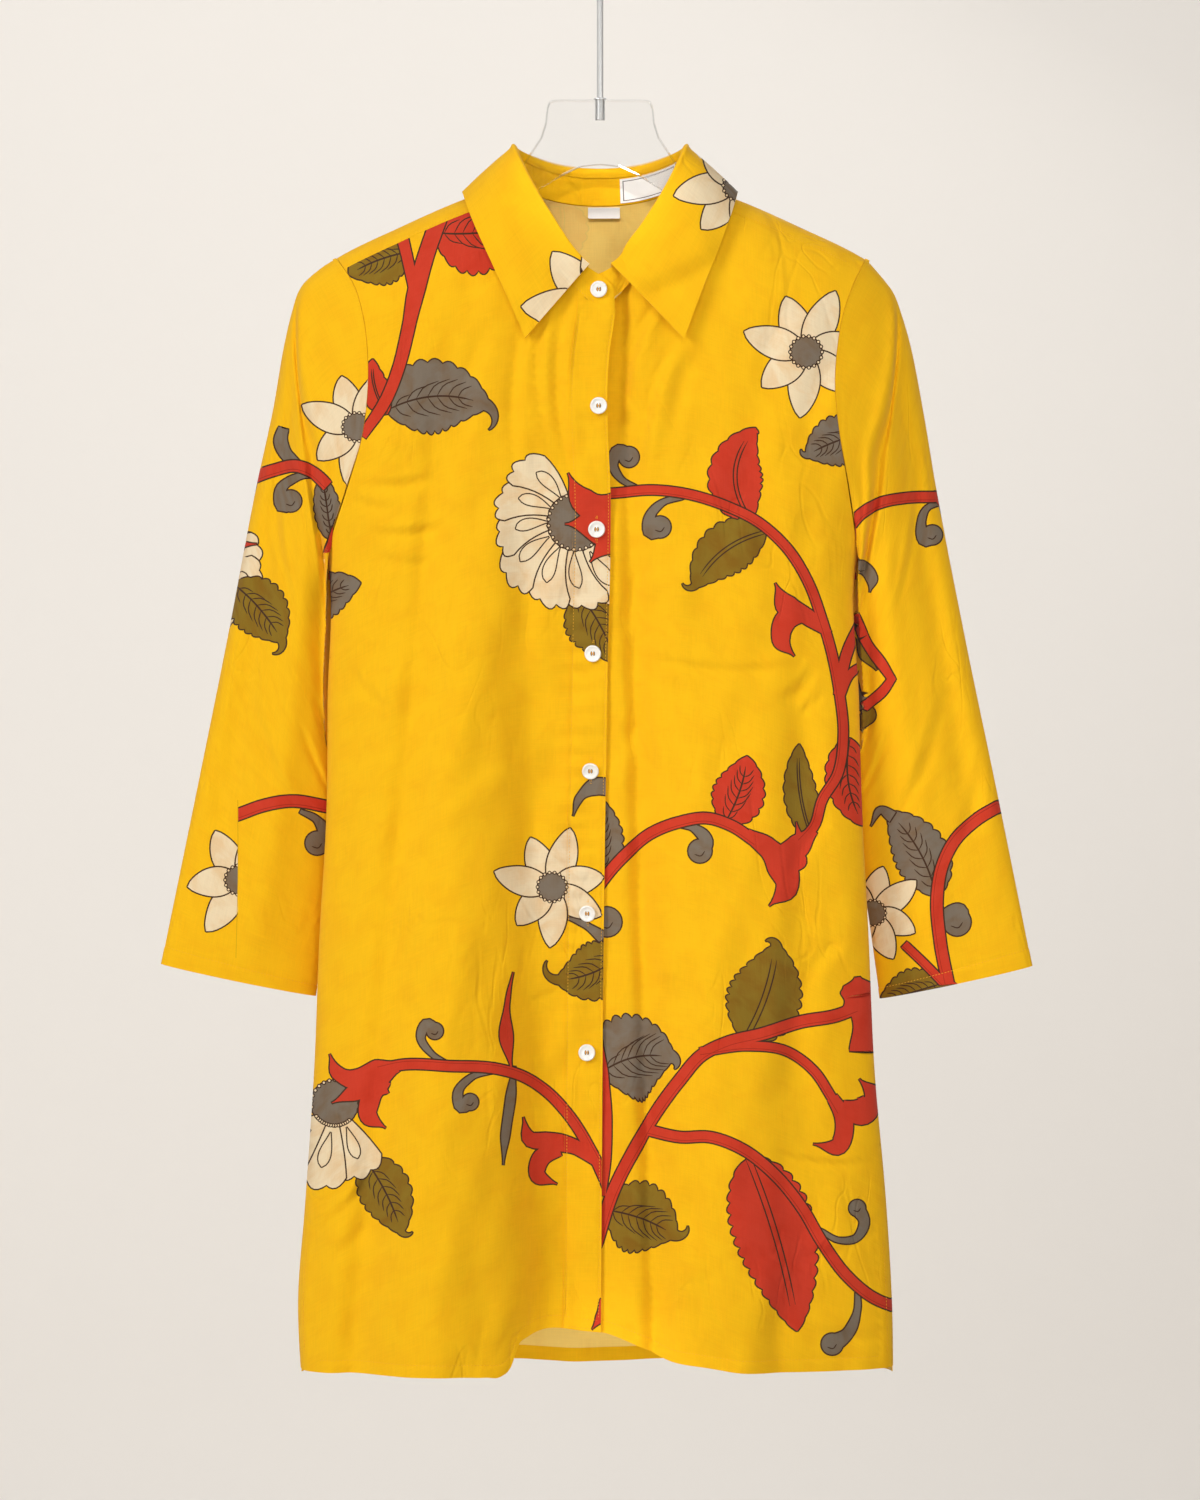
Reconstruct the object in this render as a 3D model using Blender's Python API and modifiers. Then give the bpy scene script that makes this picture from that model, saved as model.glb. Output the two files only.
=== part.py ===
"""A collared, button-front kurta tunic hanging on a clear hanger.

The garment hangs as it does on a rail: +Z is up, -Y is the side with the buttons, and +X is
the wearer's left. The origin is the inside of the hook's crown, where a rail carries it.
Heights on the garment are given as a drop below the neck end of the shoulder.
"""

import math

import bmesh
import bpy
import numpy as np
from mathutils import Matrix, Vector

MM = 0.001

# Cloth walls and the spaces between pieces
WALL = 1.2 * MM
SEAM = 0.4 * MM  # between two pieces that are sewn edge to edge
LAYER = WALL + 0.4 * MM  # from one layer of cloth to the next one on it
LABEL = 0.6 * MM
FORWARD = np.array([0, -1, 0])

# Hook and hanger
WIRE = 4.9 * MM
HOOK_RADIUS = 20 * MM  # to the middle of the wire
HOOK_STEM = 86 * MM  # straight wire above the plate
PLATE = 9 * MM
PLATE_EDGE = 1.2 * MM  # its rounded edge
PLATE_TOP_Z = -(HOOK_STEM + 1.2 * HOOK_RADIUS + HOOK_RADIUS - WIRE / 2)
NECK_PLATE_HEIGHT = 63 * MM  # plate top above the neck end of the shoulder
SHOULDER_Z = PLATE_TOP_Z - NECK_PLATE_HEIGHT
FERRULE_RADIUS = 3.3 * MM
FERRULE_LENGTH = 15 * MM
FLANGE_RADIUS = 5.4 * MM
FLANGE = 1.4 * MM

# Torso
RIDGE_HEIGHT = 90 * MM  # how far below the shoulder the cloth takes to reach its full depth
PIT = 280 * MM  # drop of the armpit
SIDE_POWER = 2.6  # how square the torso's section is
SLIT = 100 * MM  # side slit above the hem
SLIT_GAP = 5 * MM
SIDE_GAP = 0.45 * MM  # from the middle of the side seam to each cloth's edge
BACK_HEM = 891 * MM

# Neck and collar
NECK_HALF = 66 * MM
NECK_FRONT = 99 * MM  # drop of the neck seam at the front
NECK_BACK = 15 * MM
NECK_POINT = 1.6  # over 1, the neckline comes to a soft V
STAND_FRONT = 24 * MM
STAND_BACK = 20 * MM
STAND_LEAN = 3 * MM  # how far its top leans in over its foot
FOLD_RISE = 7 * MM  # the collar's fold above the stand's seam
FOLD_ROUND = 2.6 * MM  # half the space between the two sides of the fold
LEAF_LIFT = 3.4 * MM  # the leaf above the cloth it lies on
YOKE_FRONT = 13 * MM  # how far the yoke comes down over the front of the shoulder
YOKE_BACK = 105 * MM  # drop of the yoke's seam across the back

# Front opening
BAND_WIDTH = 28 * MM
BUTTON_RADIUS = 6.3 * MM
BUTTON_HEIGHT = 2.4 * MM

# Cells of the grids that the cloth is made on. Pieces that meet share the lines they meet on.
HEM_ROWS, WAIST_ROWS, LOW_ROWS, NECK_ROWS = 2, 16, 4, 5
FRONT_ROWS = HEM_ROWS + WAIST_ROWS + LOW_ROWS + NECK_ROWS
FRONT_COLUMNS, BACK_COLUMNS = 13, 22
OVER, BEHIND, ACROSS = 3, 4, 12  # over each shoulder, behind it and across the back neck
SLEEVE_ROWS = 17
LEAF_ROWS = 8


class Table:
    """Rows of sizes in millimetres with named columns, read as smooth curves down the first."""

    def __init__(self, names, *rows):
        self.columns = dict(zip(names.split(), np.array(rows, float).T * MM))
        self.places = next(iter(self.columns.values()))

    def at(self, name, place):
        values = self.columns[name]
        place = np.clip(place, self.places[0], self.places[-1])
        slope = np.gradient(values, self.places)
        i = np.clip(np.searchsorted(self.places, place) - 1, 0, len(self.places) - 2)
        step = self.places[i + 1] - self.places[i]
        t = (place - self.places[i]) / step
        start = (1 + 2 * t) * (1 - t) ** 2 * values[i] + t * (1 - t) ** 2 * step * slope[i]
        end = t * t * (3 - 2 * t) * values[i + 1] - t * t * (1 - t) * step * slope[i + 1]
        return start + end


# Sections of the torso. Above the armpit the half-widths run on into the sleeves.
BODY = Table(
    "drop right left front back",
    (-20, 225, 225, 50, 40),
    (60, 236, 238, 54, 42),
    (120, 238, 238, 56, 45),
    (180, 231, 228, 57, 46),
    (240, 214, 204, 57, 46),
    (280, 204.5, 193, 57, 46),
    (390, 204, 194, 55, 46),
    (475, 205, 196.5, 54, 46),
    (562, 210, 201, 55, 47),
    (663, 214, 205.5, 56, 48),
    (767, 221, 214.5, 57, 49),
    (836, 226, 218.5, 58, 50),
    (905, 223, 219.5, 58, 50),
)
# Seam of the sleeve, on the front and the back
ARMHOLE = Table(
    "drop right left",
    (56, 197, 199),
    (75, 184, 189),
    (100, 175.5, 180),
    (125, 172, 175.5),
    (160, 172, 174),
    (190, 176, 177.5),
    (227, 187, 184),
    (262, 199, 190),
    (280, 204.5, 193),
)
# Top line of the shoulders, from the middle of the neck outwards
RIDGE = Table(
    "out drop",
    (0, -3),
    (40, -2),
    (66, 0),
    (102, 12),
    (150, 33),
    (197, 56),
    (240, 86),
)
# Lower edge of the two fronts, from the right side seam to the left one
HEM = Table(
    "x drop",
    (-230, 887),
    (-120, 881),
    (-88, 879),
    (-74, 873),
    (-60, 859),
    (-42, 853),
    (-10, 850),
    (16, 851),
    (48, 868),
    (80, 875),
    (225, 886),
)
# Edge of the upper front, beside the buttons
EDGE = Table("drop x", (60, 12), (100, 11), (130, 7), (250, 8), (350, 6), (540, 3), (880, 0.5))
# Long folds in the cloth. Depth is inwards, so a ridge has a negative one.
FRONT_FOLDS = Table(
    "top_drop top_x foot_drop foot_x width depth",
    (110, -84, 885, -92, 30, -7),
    (115, -50, 885, -46, 20, 10),
    (250, -118, 700, -158, 15, 5),
    (640, -150, 885, -166, 26, 6),
    (640, -126, 885, -128, 20, -4),
    (120, 42, 330, 24, 11, 4),
    (125, 66, 420, 58, 16, -4),
    (500, 66, 885, 88, 24, -6),
    (520, 116, 885, 128, 22, 6),
    (360, 152, 885, 172, 20, -5),
)
BACK_FOLDS = Table(
    "top_drop top_x foot_drop foot_x width depth",
    (140, -120, 885, -142, 24, 9),
    (180, -60, 885, -76, 26, -7),
    (130, -8, 885, -12, 24, 8),
    (200, 52, 885, 60, 28, -8),
    (150, 108, 885, 128, 22, 9),
    (420, 160, 885, 178, 20, -5),
    (420, -170, 885, -184, 18, -5),
)


# Buttons, the first of them on the collar's stand
BUTTONS = Table(
    "drop x",
    (84, 0),
    (168, -1),
    (259, -2.5),
    (351, -5),
    (438, -7),
    (544, -9),
    (648, -9.6),
)
# The clear plate's outline: from the middle outwards, its upper and its lower edge
PLATE_TOP = Table(
    "out drop",
    (0, -63),
    (34, -63),
    (38.2, -61.5),
    (40, -57),
    (41, -46),
    (44.5, -35),
    (51, -25),
    (57.5, -15.5),
    (60.5, -7),
    (62.5, 0.4),
    (66, 3),
    (80, 7),
    (102, 15.2),
    (150, 36),
    (178, 48.5),
    (184, 54),
)
PLATE_FOOT = Table(
    "out drop",
    (0, -14.5),
    (14, -13),
    (28.5, -6.2),
    (48, 5.8),
    (66, 17),
    (100, 35),
    (150, 60),
    (178, 73),
    (184, 70),
)
# Outer edge of the collar's leaf by its turn round the neck. Over is how far it lies in front
# of the shoulder's top line, along the cloth, and behind it when positive.
LEAF_EDGE = Table(
    "turn right_out left_out over",
    (18, 55, 62, -171),
    (33, 66.5, 71.5, -143),
    (47, 79, 82, -112),
    (60, 90, 91.5, -80),
    (74, 99, 99.5, -42),
    (90, 103, 103, 2),
    (107, 98, 98, 34),
    (125, 82, 82, 57),
    (143, 61, 61, 71),
    (162, 33, 33, 79),
    (180, 0, 0, 82),
)


def smooth(t):
    t = np.clip(t, 0, 1)
    return t * t * (3 - 2 * t)


def ridge(x):
    return RIDGE.at("drop", np.abs(x))


def half_width(x, drop):
    return np.where(x < 0, BODY.at("right", drop), BODY.at("left", drop))


def armhole(side, drop):
    """How far out the sleeve's seam or, below the armpit, the side seam lies."""
    name = "right" if side < 0 else "left"
    return np.where(drop < PIT, ARMHOLE.at(name, drop), BODY.at(name, drop))


def folds(table, x, drop):
    """How far the long folds push the cloth inwards."""
    c = table.columns
    total = 0 * x
    for k in range(len(c["width"])):
        t = (drop - c["top_drop"][k]) / (c["foot_drop"][k] - c["top_drop"][k])
        line = c["top_x"][k] + (c["foot_x"][k] - c["top_x"][k]) * t
        width = c["width"][k] * (0.75 + 0.35 * np.clip(t, 0, 1))
        grown = smooth(t / 0.35) * (0.6 + 0.4 * smooth(t))
        total = total + c["depth"][k] * grown * np.exp(-(((x - line) / width) ** 2))
    return total


def depth(x, drop, face):
    """Y of the cloth's middle at this place on the front (face -1) or the back (face 1)."""
    name, table = ("front", FRONT_FOLDS) if face < 0 else ("back", BACK_FOLDS)
    out = np.clip(np.abs(x) / half_width(x, drop), 0, 1)
    round_side = np.sqrt(np.clip(1 - out**SIDE_POWER, 0, 1))
    fallen = np.clip((drop - ridge(x)) / RIDGE_HEIGHT, 0, 1)
    round_top = np.sqrt(1 - (1 - fallen) ** 2)
    away = BODY.at(name, drop) - folds(table, x, drop) * np.minimum(1, 1.6 * round_side)
    return face * away * round_side * round_top


def on_torso(x, drop, face, out=0.0):
    """Points on the torso, moved outwards by out along Y."""
    y = depth(x, drop, face) + face * out
    return np.stack([x + 0 * y, y, SHOULDER_Z - drop + 0 * y], -1)


def profile(x, w):
    """Points over the shoulder. w is 0 on its top line, negative in front and positive behind."""
    angle = np.minimum(np.abs(w) / RIDGE_HEIGHT, math.pi / 2)
    below = np.maximum(np.abs(w) - RIDGE_HEIGHT * math.pi / 2, 0)
    drop = ridge(x) + RIDGE_HEIGHT * (1 - np.cos(angle)) + below
    y = np.where(w < 0, depth(x, drop, -1), depth(x, drop, 1))
    return np.stack([x, y, SHOULDER_Z - drop], -1)


def profile_place(x, drop):
    """How far w is from 0 at this place."""
    fallen = np.maximum(drop - ridge(x), 0) / RIDGE_HEIGHT
    return RIDGE_HEIGHT * np.where(
        fallen < 1, np.arccos(np.clip(1 - fallen, 0, 1)), math.pi / 2 + fallen - 1
    )


def neck_ring(turn, out=0.0):
    """(x, drop) of the neck seam. turn is 0 at the front, 90 degrees at the left shoulder."""
    side, along = np.sign(np.sin(turn)), np.cos(turn)
    off = np.abs(np.sin(turn))
    front = along > 0
    x = side * (NECK_HALF + out) * np.where(front, off**NECK_POINT, off**0.9)
    low = (NECK_FRONT + out) * np.abs(along) ** NECK_POINT
    return x, np.where(front, low, (NECK_BACK + out) * along**2)


def arm_drop(turn):
    """Drop of a place on the sleeve's seam. turn is 0 on the shoulder and pi at the armpit."""
    top = ARMHOLE.places[0]
    return top + (PIT - top) * (1 - np.cos(turn)) / 2


def arm_turn(drop):
    top = ARMHOLE.places[0]
    return np.arccos(1 - 2 * (drop - top) / (PIT - top))


def yoke_turns(side):
    """Turns of the neck seam and of the sleeve's seam where the yoke's front seam ends."""
    turns = np.linspace(0.02, math.pi / 2, 400)
    x, drop = neck_ring(side * turns)
    neck = float(np.interp(-YOKE_FRONT, -(drop - ridge(x)), turns))
    drops = np.linspace(ARMHOLE.places[0], PIT, 400)
    corner = float(np.interp(YOKE_FRONT, drops - ridge(armhole(side, drops)), drops))
    return neck, float(arm_turn(corner))


def neck_turns(side):
    """Turns of the neck seam's lines, from near the centre up and round to behind the ear."""
    top = yoke_turns(side)[0]
    front = top * (np.arange(1, NECK_ROWS + 1) / NECK_ROWS) ** 0.88
    over = np.linspace(top, math.pi / 2, OVER + 1)[1:]
    behind = np.linspace(math.pi / 2, math.radians(125), BEHIND + 1)[1:]
    return side * np.concatenate([front, over, behind])


def across_turns():
    """Turns of the neck seam's lines across the back, from the right to the left."""
    return np.linspace(-math.radians(125), -math.radians(235), ACROSS + 1)[1:-1]


def edge_x(drop):
    return EDGE.at("x", drop)


def front_start(side, drop):
    """X of a front's own edge. The left front reaches under the whole band."""
    return edge_x(drop) - (BAND_WIDTH if side > 0 else 0)


def front_place(side):
    """place(u, v) of a front, from its edge at the centre out to the sleeve and the side.

    v starts at the hem. The first two columns span the band.
    """
    knots = np.cumsum([0, HEM_ROWS, WAIST_ROWS, LOW_ROWS, NECK_ROWS]) / FRONT_ROWS
    hem = BACK_HEM - 4 * MM
    hem_drops = [hem, hem - 40 * MM]
    neck_x, neck_drop = neck_ring(neck_turns(side)[:NECK_ROWS], SEAM)
    neck_x = np.append(front_start(side, NECK_FRONT), neck_x)
    neck_drop = np.append(NECK_FRONT + SEAM, neck_drop)
    corner = yoke_turns(side)[1]
    seam = YOKE_FRONT + SEAM

    def place(u, v):
        up = np.clip((v - knots[3]) / (1 - knots[3]), 0, 1)
        drop_in = np.interp(v, [0, knots[1], knots[3]], [*hem_drops, neck_drop[0]])
        x_in = front_start(side, drop_in)
        step = np.arange(NECK_ROWS + 1) / NECK_ROWS
        drop_in = np.where(up > 0, np.interp(up, step, neck_drop), drop_in)
        x_in = np.where(up > 0, np.interp(up, step, neck_x), x_in)
        turn = np.interp(v, [knots[2], 1], [math.pi, corner])
        drop_out = np.interp(v, knots[:3], [*hem_drops, PIT])
        drop_out = np.where(v > knots[2], arm_drop(turn) + up * SEAM, drop_out)
        x_out = side * (armhole(side, drop_out) - np.where(drop_out < PIT, SEAM, 0))

        column = u * FRONT_COLUMNS
        away = np.clip((column - 2) / (FRONT_COLUMNS - 2), 0, 1)
        away = 0.3 * away + 0.7 * np.sin(away * math.pi / 2)
        x = x_in + side * BAND_WIDTH * np.minimum(column / 2, 1)
        x = x + (x_out - x) * away
        share = (1 - up) * away + up * (x - x_in) / (x_out - x_in)
        drop = drop_in + (drop_out - drop_in) * share
        top = ridge(x) - ridge(x_in) - (ridge(x_out) - ridge(x_in)) * share
        drop = drop + top * up
        drop = np.where(up > 0.99, ridge(x) + seam, drop)
        drop = drop + (HEM.at("drop", x) - hem) * np.clip(1 - v * FRONT_ROWS / 9, 0, 1)

        points = on_torso(x, drop, -1)
        if side > 0:  # under the band this front lies one layer further in
            row = up * NECK_ROWS
            points[:, 1] += LAYER * smooth(3 - column - row) * smooth(2 - row)
        below = smooth((drop - (BACK_HEM - SLIT)) / SLIT)
        parted = (SIDE_GAP + SLIT_GAP / 2 * below) * smooth((u - 0.93) / 0.07)
        points[:, 1] -= np.where(drop_out >= PIT - 1e-6, parted, SIDE_GAP * (drop_out > 0.27))
        return points

    return place


def back_place(u, v):
    rows = FRONT_ROWS - 2
    knots = np.cumsum([0, HEM_ROWS, WAIST_ROWS]) / rows
    drop = np.interp(v, knots, [BACK_HEM, BACK_HEM - 40 * MM, PIT])
    turn = np.interp(v, [knots[2], 1], [math.pi, float(arm_turn(YOKE_BACK))])
    drop = np.where(v > knots[2], arm_drop(turn) + SEAM * smooth((v - 0.9) / 0.1), drop)
    across = 2 * u - 1
    along = 0.3 * abs(across) + 0.7 * np.sin(abs(across) * math.pi / 2)
    out = np.where(across < 0, armhole(-1, drop), armhole(1, drop))
    out = out - np.where(drop < PIT - 1e-6, SEAM, 0)
    points = on_torso(np.sign(across) * out * along, drop, 1)
    below = smooth((drop - (BACK_HEM - SLIT)) / SLIT)
    parted = (SIDE_GAP + SLIT_GAP / 2 * below) * smooth((abs(across) - 0.93) / 0.07)
    points[:, 1] += np.where(drop >= PIT - 1e-6, parted, SIDE_GAP * (drop > 0.27))
    return points


def yoke_place():
    """place(u, v) of the yoke: u round the neck from the right front, v from it to the arms."""
    seam_w = SEAM - float(profile_place(np.array(0.0), ridge(np.array(0.0)) + YOKE_FRONT))

    def arm_side(side):
        corner = yoke_turns(side)[1]
        front_turns = np.linspace(corner, 0, OVER + 1)
        back_turns = np.linspace(0, float(arm_turn(YOKE_BACK)), BEHIND + 1)[1:]
        drops = arm_drop(np.concatenate([front_turns, back_turns]))
        out = armhole(side, drops) - SEAM
        w = profile_place(side * out, drops) * np.where(np.arange(len(drops)) <= OVER, -1, 1)
        w[0], w[OVER] = seam_w, 0
        w[-1] -= SEAM
        return side * out, w

    def neck_side(side):
        x, drop = neck_ring(neck_turns(side)[NECK_ROWS - 1 :], SEAM)
        w = profile_place(x, drop) * np.where(np.arange(len(x)) <= OVER, -1, 1)
        w[0], w[OVER] = seam_w, 0
        return x, w

    mid_x, mid_drop = neck_ring(across_turns(), SEAM)
    mid_w = profile_place(mid_x, mid_drop)
    (right_x, right_w), (left_x, left_w) = neck_side(-1), neck_side(1)
    ring = np.concatenate([right_x, mid_x, left_x[::-1]]), np.concatenate(
        [right_w, mid_w, left_w[::-1]]
    )
    (right_x, right_w), (left_x, left_w) = arm_side(-1), arm_side(1)
    seam_x = np.linspace(right_x[-1], left_x[-1], ACROSS + 1)[1:-1]
    seam_line = profile_place(seam_x, np.full(len(seam_x), YOKE_BACK)) - SEAM
    edge = np.concatenate([right_x, seam_x, left_x[::-1]]), np.concatenate(
        [right_w, seam_line, left_w[::-1]]
    )
    step = np.linspace(0, 1, len(ring[0]))

    def place(u, v):
        x = (1 - v) * np.interp(u, step, ring[0]) + v * np.interp(u, step, edge[0])
        w = (1 - v) * np.interp(u, step, ring[1]) + v * np.interp(u, step, edge[1])
        return profile(x, w)

    return place, len(step) - 1


# ---------------------------------------------------------------- the collar

def stand_lines():
    """Turn, x and drop of the stand's foot, from its upper end on the right round to the left."""
    right, left = neck_turns(-1), neck_turns(1) - 2 * math.pi
    turns = np.concatenate([right, across_turns(), left[::-1]])
    x, drop = neck_ring(turns, -SEAM)
    ends = [front_start(-1, NECK_FRONT) - SEAM], [-14 * MM]
    x = np.concatenate([ends[0], x, ends[1]])
    drop = np.concatenate([[NECK_FRONT - SEAM], drop, [NECK_FRONT - SEAM]])
    turns = np.concatenate([[0.0], turns, [-2 * math.pi]])
    return turns, x, drop


def stand_height(turn):
    return STAND_BACK + (STAND_FRONT - STAND_BACK) * smooth((1 + 1.6 * np.cos(turn)) / 2)


def stand_place(u, v):
    """The standing part of the collar. u runs round it and v up it."""
    turns, xs, drops = stand_lines()
    step = np.linspace(0, 1, len(turns))
    turn, x, drop = (np.interp(u, step, line) for line in (turns, xs, drops))
    y = np.where(np.cos(turn) > 0, depth(x, drop, -1), depth(x, drop, 1))
    under = np.clip(2 - (1 - u) * (len(turns) - 1), 0, 1)  # its lower end
    upper = np.clip(2 - u * (len(turns) - 1), 0, 1)
    lean = STAND_LEAN * v
    inward_x, inward_y = -x / NECK_HALF, -(y + 15 * MM) / (40 * MM)
    size = np.maximum(np.hypot(inward_x, inward_y), 0.3)
    x = x + lean * inward_x / size
    y = y + lean * inward_y / size + LAYER * under - 0.5 * MM * upper
    z = SHOULDER_Z - drop + stand_height(turn) * v + 1.1 * MM * under * (1 - v)
    return np.stack([x, y, z], -1)


def leaf_place(u, v):
    """The folded part of the collar: v rises from the stand, turns over and falls."""
    turns = stand_lines()[0]
    columns = len(turns) - 1
    inner = (1 + u * (columns - 2)) / columns
    seam = stand_place(inner, np.full_like(v, 1.0))
    turn = np.interp(inner, np.linspace(0, 1, columns + 1), turns)
    off = np.degrees(np.pi - np.abs(np.mod(turn, 2 * math.pi) - np.pi))
    side = np.where(np.mod(turn, 2 * math.pi) > np.pi, -1, 1)
    off = np.maximum(off, 18)
    right, left = LEAF_EDGE.at("right_out", off * MM), LEAF_EDGE.at("left_out", off * MM)
    edge_out = np.where(side < 0, -right, left)
    edge_w = LEAF_EDGE.at("over", off * MM)
    edge = profile(edge_out, edge_w)
    ridge_share = np.exp(-((edge_w / (45 * MM)) ** 2))
    lift_y = np.where(edge_w < 0, -1, 1) * np.sqrt(np.clip(1 - ridge_share, 0, 1))
    edge[:, 1] += LEAF_LIFT * lift_y
    edge[:, 2] += LEAF_LIFT * ridge_share
    near = 0.4 / columns
    along = stand_place(inner + near, 1 + 0 * v) - stand_place(inner - near, 1 + 0 * v)
    outward = np.stack([along[:, 1], -along[:, 0], 0 * v], -1)
    outward /= np.linalg.norm(outward, axis=1)[:, None]
    away = np.sum(outward * (seam - np.array([0, -15 * MM, 0])), axis=1)
    outward *= np.sign(away)[:, None]
    front_end = smooth((off - 18) / 30)
    rise = FOLD_RISE * (0.25 + 0.75 * front_end)
    bow = FOLD_ROUND
    up = np.zeros_like(seam)
    up[:, 2] = 1
    start = seam + up * (SEAM + 0.2 * MM)
    top = start + up * rise[:, None] + outward * bow
    over = start + up * (rise * 0.45)[:, None] + outward * 2 * bow
    middle = 0.5 * over + 0.5 * edge + outward * 1.5 * MM
    middle[:, 1] += np.where(edge_w < 0, -2.5 * MM, 1.5 * MM)
    row = v * LEAF_ROWS
    points = np.zeros_like(seam)
    inner_side = start + up * (rise * 0.6)[:, None] - outward * 0.1 * bow
    knots = [start, inner_side, top, over]
    for k, knot in enumerate(knots):
        points = np.where(np.abs(row - k)[:, None] < 0.5, knot, points)
    t = np.clip((row - 3) / (LEAF_ROWS - 3), 0, 1)[:, None]
    fall = (1 - t) ** 2 * over + 2 * t * (1 - t) * middle + t**2 * edge
    x, y, drop = fall[:, 0], fall[:, 1], SHOULDER_Z - fall[:, 2]
    front, rear = depth(x, drop, -1) - LEAF_LIFT, depth(x, drop, 1) + LEAF_LIFT
    y = np.where(y < -12 * MM, np.minimum(y, front), np.where(y > 8 * MM, np.maximum(y, rear), y))
    fall[:, 1] = y
    return np.where(row[:, None] > 3.4, fall, points)



def faceted(place, columns, rows):
    """The same place on the flat cells of its grid."""

    def on_cells(u, v):
        i = np.clip(np.floor(u * columns), 0, columns - 1)
        j = np.clip(np.floor(v * rows), 0, rows - 1)
        s, t = (u * columns - i)[:, None], (v * rows - j)[:, None]
        corner = [[place((i + a) / columns, (j + b) / rows) for b in (0, 1)] for a in (0, 1)]
        low = corner[0][0] * (1 - s) + corner[1][0] * s
        return low * (1 - t) + (corner[0][1] * (1 - s) + corner[1][1] * s) * t

    return on_cells


def raised(place, u, v, out, toward):
    """Points of a place moved along its normals, to the side that toward points at."""
    step = 1e-3
    along = place(np.minimum(u + step, 1), v) - place(np.maximum(u - step, 0), v)
    up = place(u, np.minimum(v + step, 1)) - place(u, np.maximum(v - step, 0))
    normal = np.cross(along, up)
    normal /= np.linalg.norm(normal, axis=1)[:, None]
    normal *= np.where(np.sum(normal * toward, axis=1) < 0, -1, 1)[:, None]
    return place(u, v) + out * normal


def patch(place, u_span, v_span, out, toward):
    """A piece that lies on part of a place, as its own place(u, v)."""

    def on_patch(u, v):
        a = u_span[0] + (u_span[1] - u_span[0]) * u
        b = v_span[0] + (v_span[1] - v_span[0]) * v
        return raised(place, a, b, out, toward)

    return on_patch


# ---------------------------------------------------------------- making objects


def material(name, colour, roughness=0.8, metallic=0.0, clear=0.0):
    made = bpy.data.materials.new(name)
    made.use_nodes = True
    shader = made.node_tree.nodes["Principled BSDF"]
    shader.inputs["Base Color"].default_value = (*colour, 1)
    shader.inputs["Roughness"].default_value = roughness
    shader.inputs["Metallic"].default_value = metallic
    shader.inputs["Transmission Weight"].default_value = clear
    return made


def new_object(name, bm, finish, collection):
    mesh = bpy.data.meshes.new(name)
    bm.to_mesh(mesh)
    bm.free()
    mesh.materials.append(finish)
    made = bpy.data.objects.new(name, mesh)
    collection.objects.link(made)
    return made


def cloth(name, columns, rows, place, finish, collection, closed=False, wall=WALL):
    """A wall of cloth over place(u, v), with u and v from 0 to 1."""
    bm = bmesh.new()
    bmesh.ops.create_grid(bm, x_segments=columns, y_segments=rows, size=0.5)
    uv = np.array([v.co[:2] for v in bm.verts]) + 0.5
    for vert, point in zip(bm.verts, place(uv[:, 0], uv[:, 1])):
        vert.co = point
    if closed:
        bmesh.ops.remove_doubles(bm, verts=bm.verts, dist=0.02 * MM)
    made = new_object(name, bm, finish, collection)
    made.data.shade_smooth()
    solid = made.modifiers.new("Wall", "SOLIDIFY")
    solid.thickness = wall
    solid.offset = 0
    return made


# ---------------------------------------------------------------- sleeves

SLEEVE_OUTER = Table(
    "along right_x right_drop left_x left_drop",
    (0, 197, 56, 199, 60),
    (22, 214, 66, 213, 72),
    (42, 225.5, 79, 221, 83),
    (62, 231.5, 96, 227, 99),
    (84, 236.5, 116, 232.5, 117),
    (140, 246.5, 170, 244, 173),
    (190, 257.5, 219, 252.5, 222),
    (310, 280.5, 337, 275.5, 340),
    (430, 304.5, 455, 300, 457),
    (550, 331.5, 587.5, 326.5, 589),
)
SLEEVE_INNER = Table(
    "along right_x right_drop left_x left_drop",
    (0, 204.5, 280, 193, 280),
    (60, 200, 306, 189, 306),
    (180, 197, 372, 187, 372),
    (330, 197, 470, 192, 470),
    (470, 207, 560, 205, 562),
    (550, 215.5, 611.5, 212, 613.5),
)
SLEEVE_ROUND = Table(
    "along depth behind",
    (0, 34, 0),
    (60, 36, 10),
    (150, 33, 20),
    (300, 28, 27),
    (430, 22, 30),
    (550, 14, 28),
)
SLEEVE_FOLDS = Table(
    "turn width depth start end",
    (52, 15, 7, 40, 460),
    (98, 13, -4, 120, 540),
    (235, 20, 7, 60, 520),
    (300, 18, -5, 150, 540),
)
SLEEVE_LENGTH = 550 * MM
BLEND_LENGTH = 150 * MM
BODY_CLEAR = 4 * MM


def armhole_loop(side, turn):
    """Points of the sleeve's own edge. turn is 0 on the shoulder, 90 degrees in front."""
    low = np.abs(np.mod(turn + math.pi, 2 * math.pi) - math.pi)
    drop = np.minimum(arm_drop(low), PIT - 0.1 * MM)
    x = armhole(side, drop)
    y = np.where(turn >= 0, depth(side * x, drop, -1), depth(side * x, drop, 1))
    x = x + SEAM + 1.3 * MM * smooth((low - 1.7) / 0.5)
    return np.stack([side * x, y, SHOULDER_Z - drop], -1)


def clear_of_body(side, points, margin):
    """Points that would lie inside the torso are moved out to its side."""
    x, y, drop = points[:, 0], points[:, 1], SHOULDER_Z - points[:, 2]
    half = armhole(side, drop) + margin
    away = np.where(y < 0, BODY.at("front", drop), BODY.at("back", drop)) + margin
    place = (np.abs(x) / half) ** SIDE_POWER + (y / away) ** 2
    grow = np.where(place < 1, np.maximum(place, 0.2) ** (-1 / SIDE_POWER), 1)
    grow = 1 + (grow - 1) * (margin > 0)
    return points * np.stack([grow, grow, np.ones_like(grow)], -1)


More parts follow.
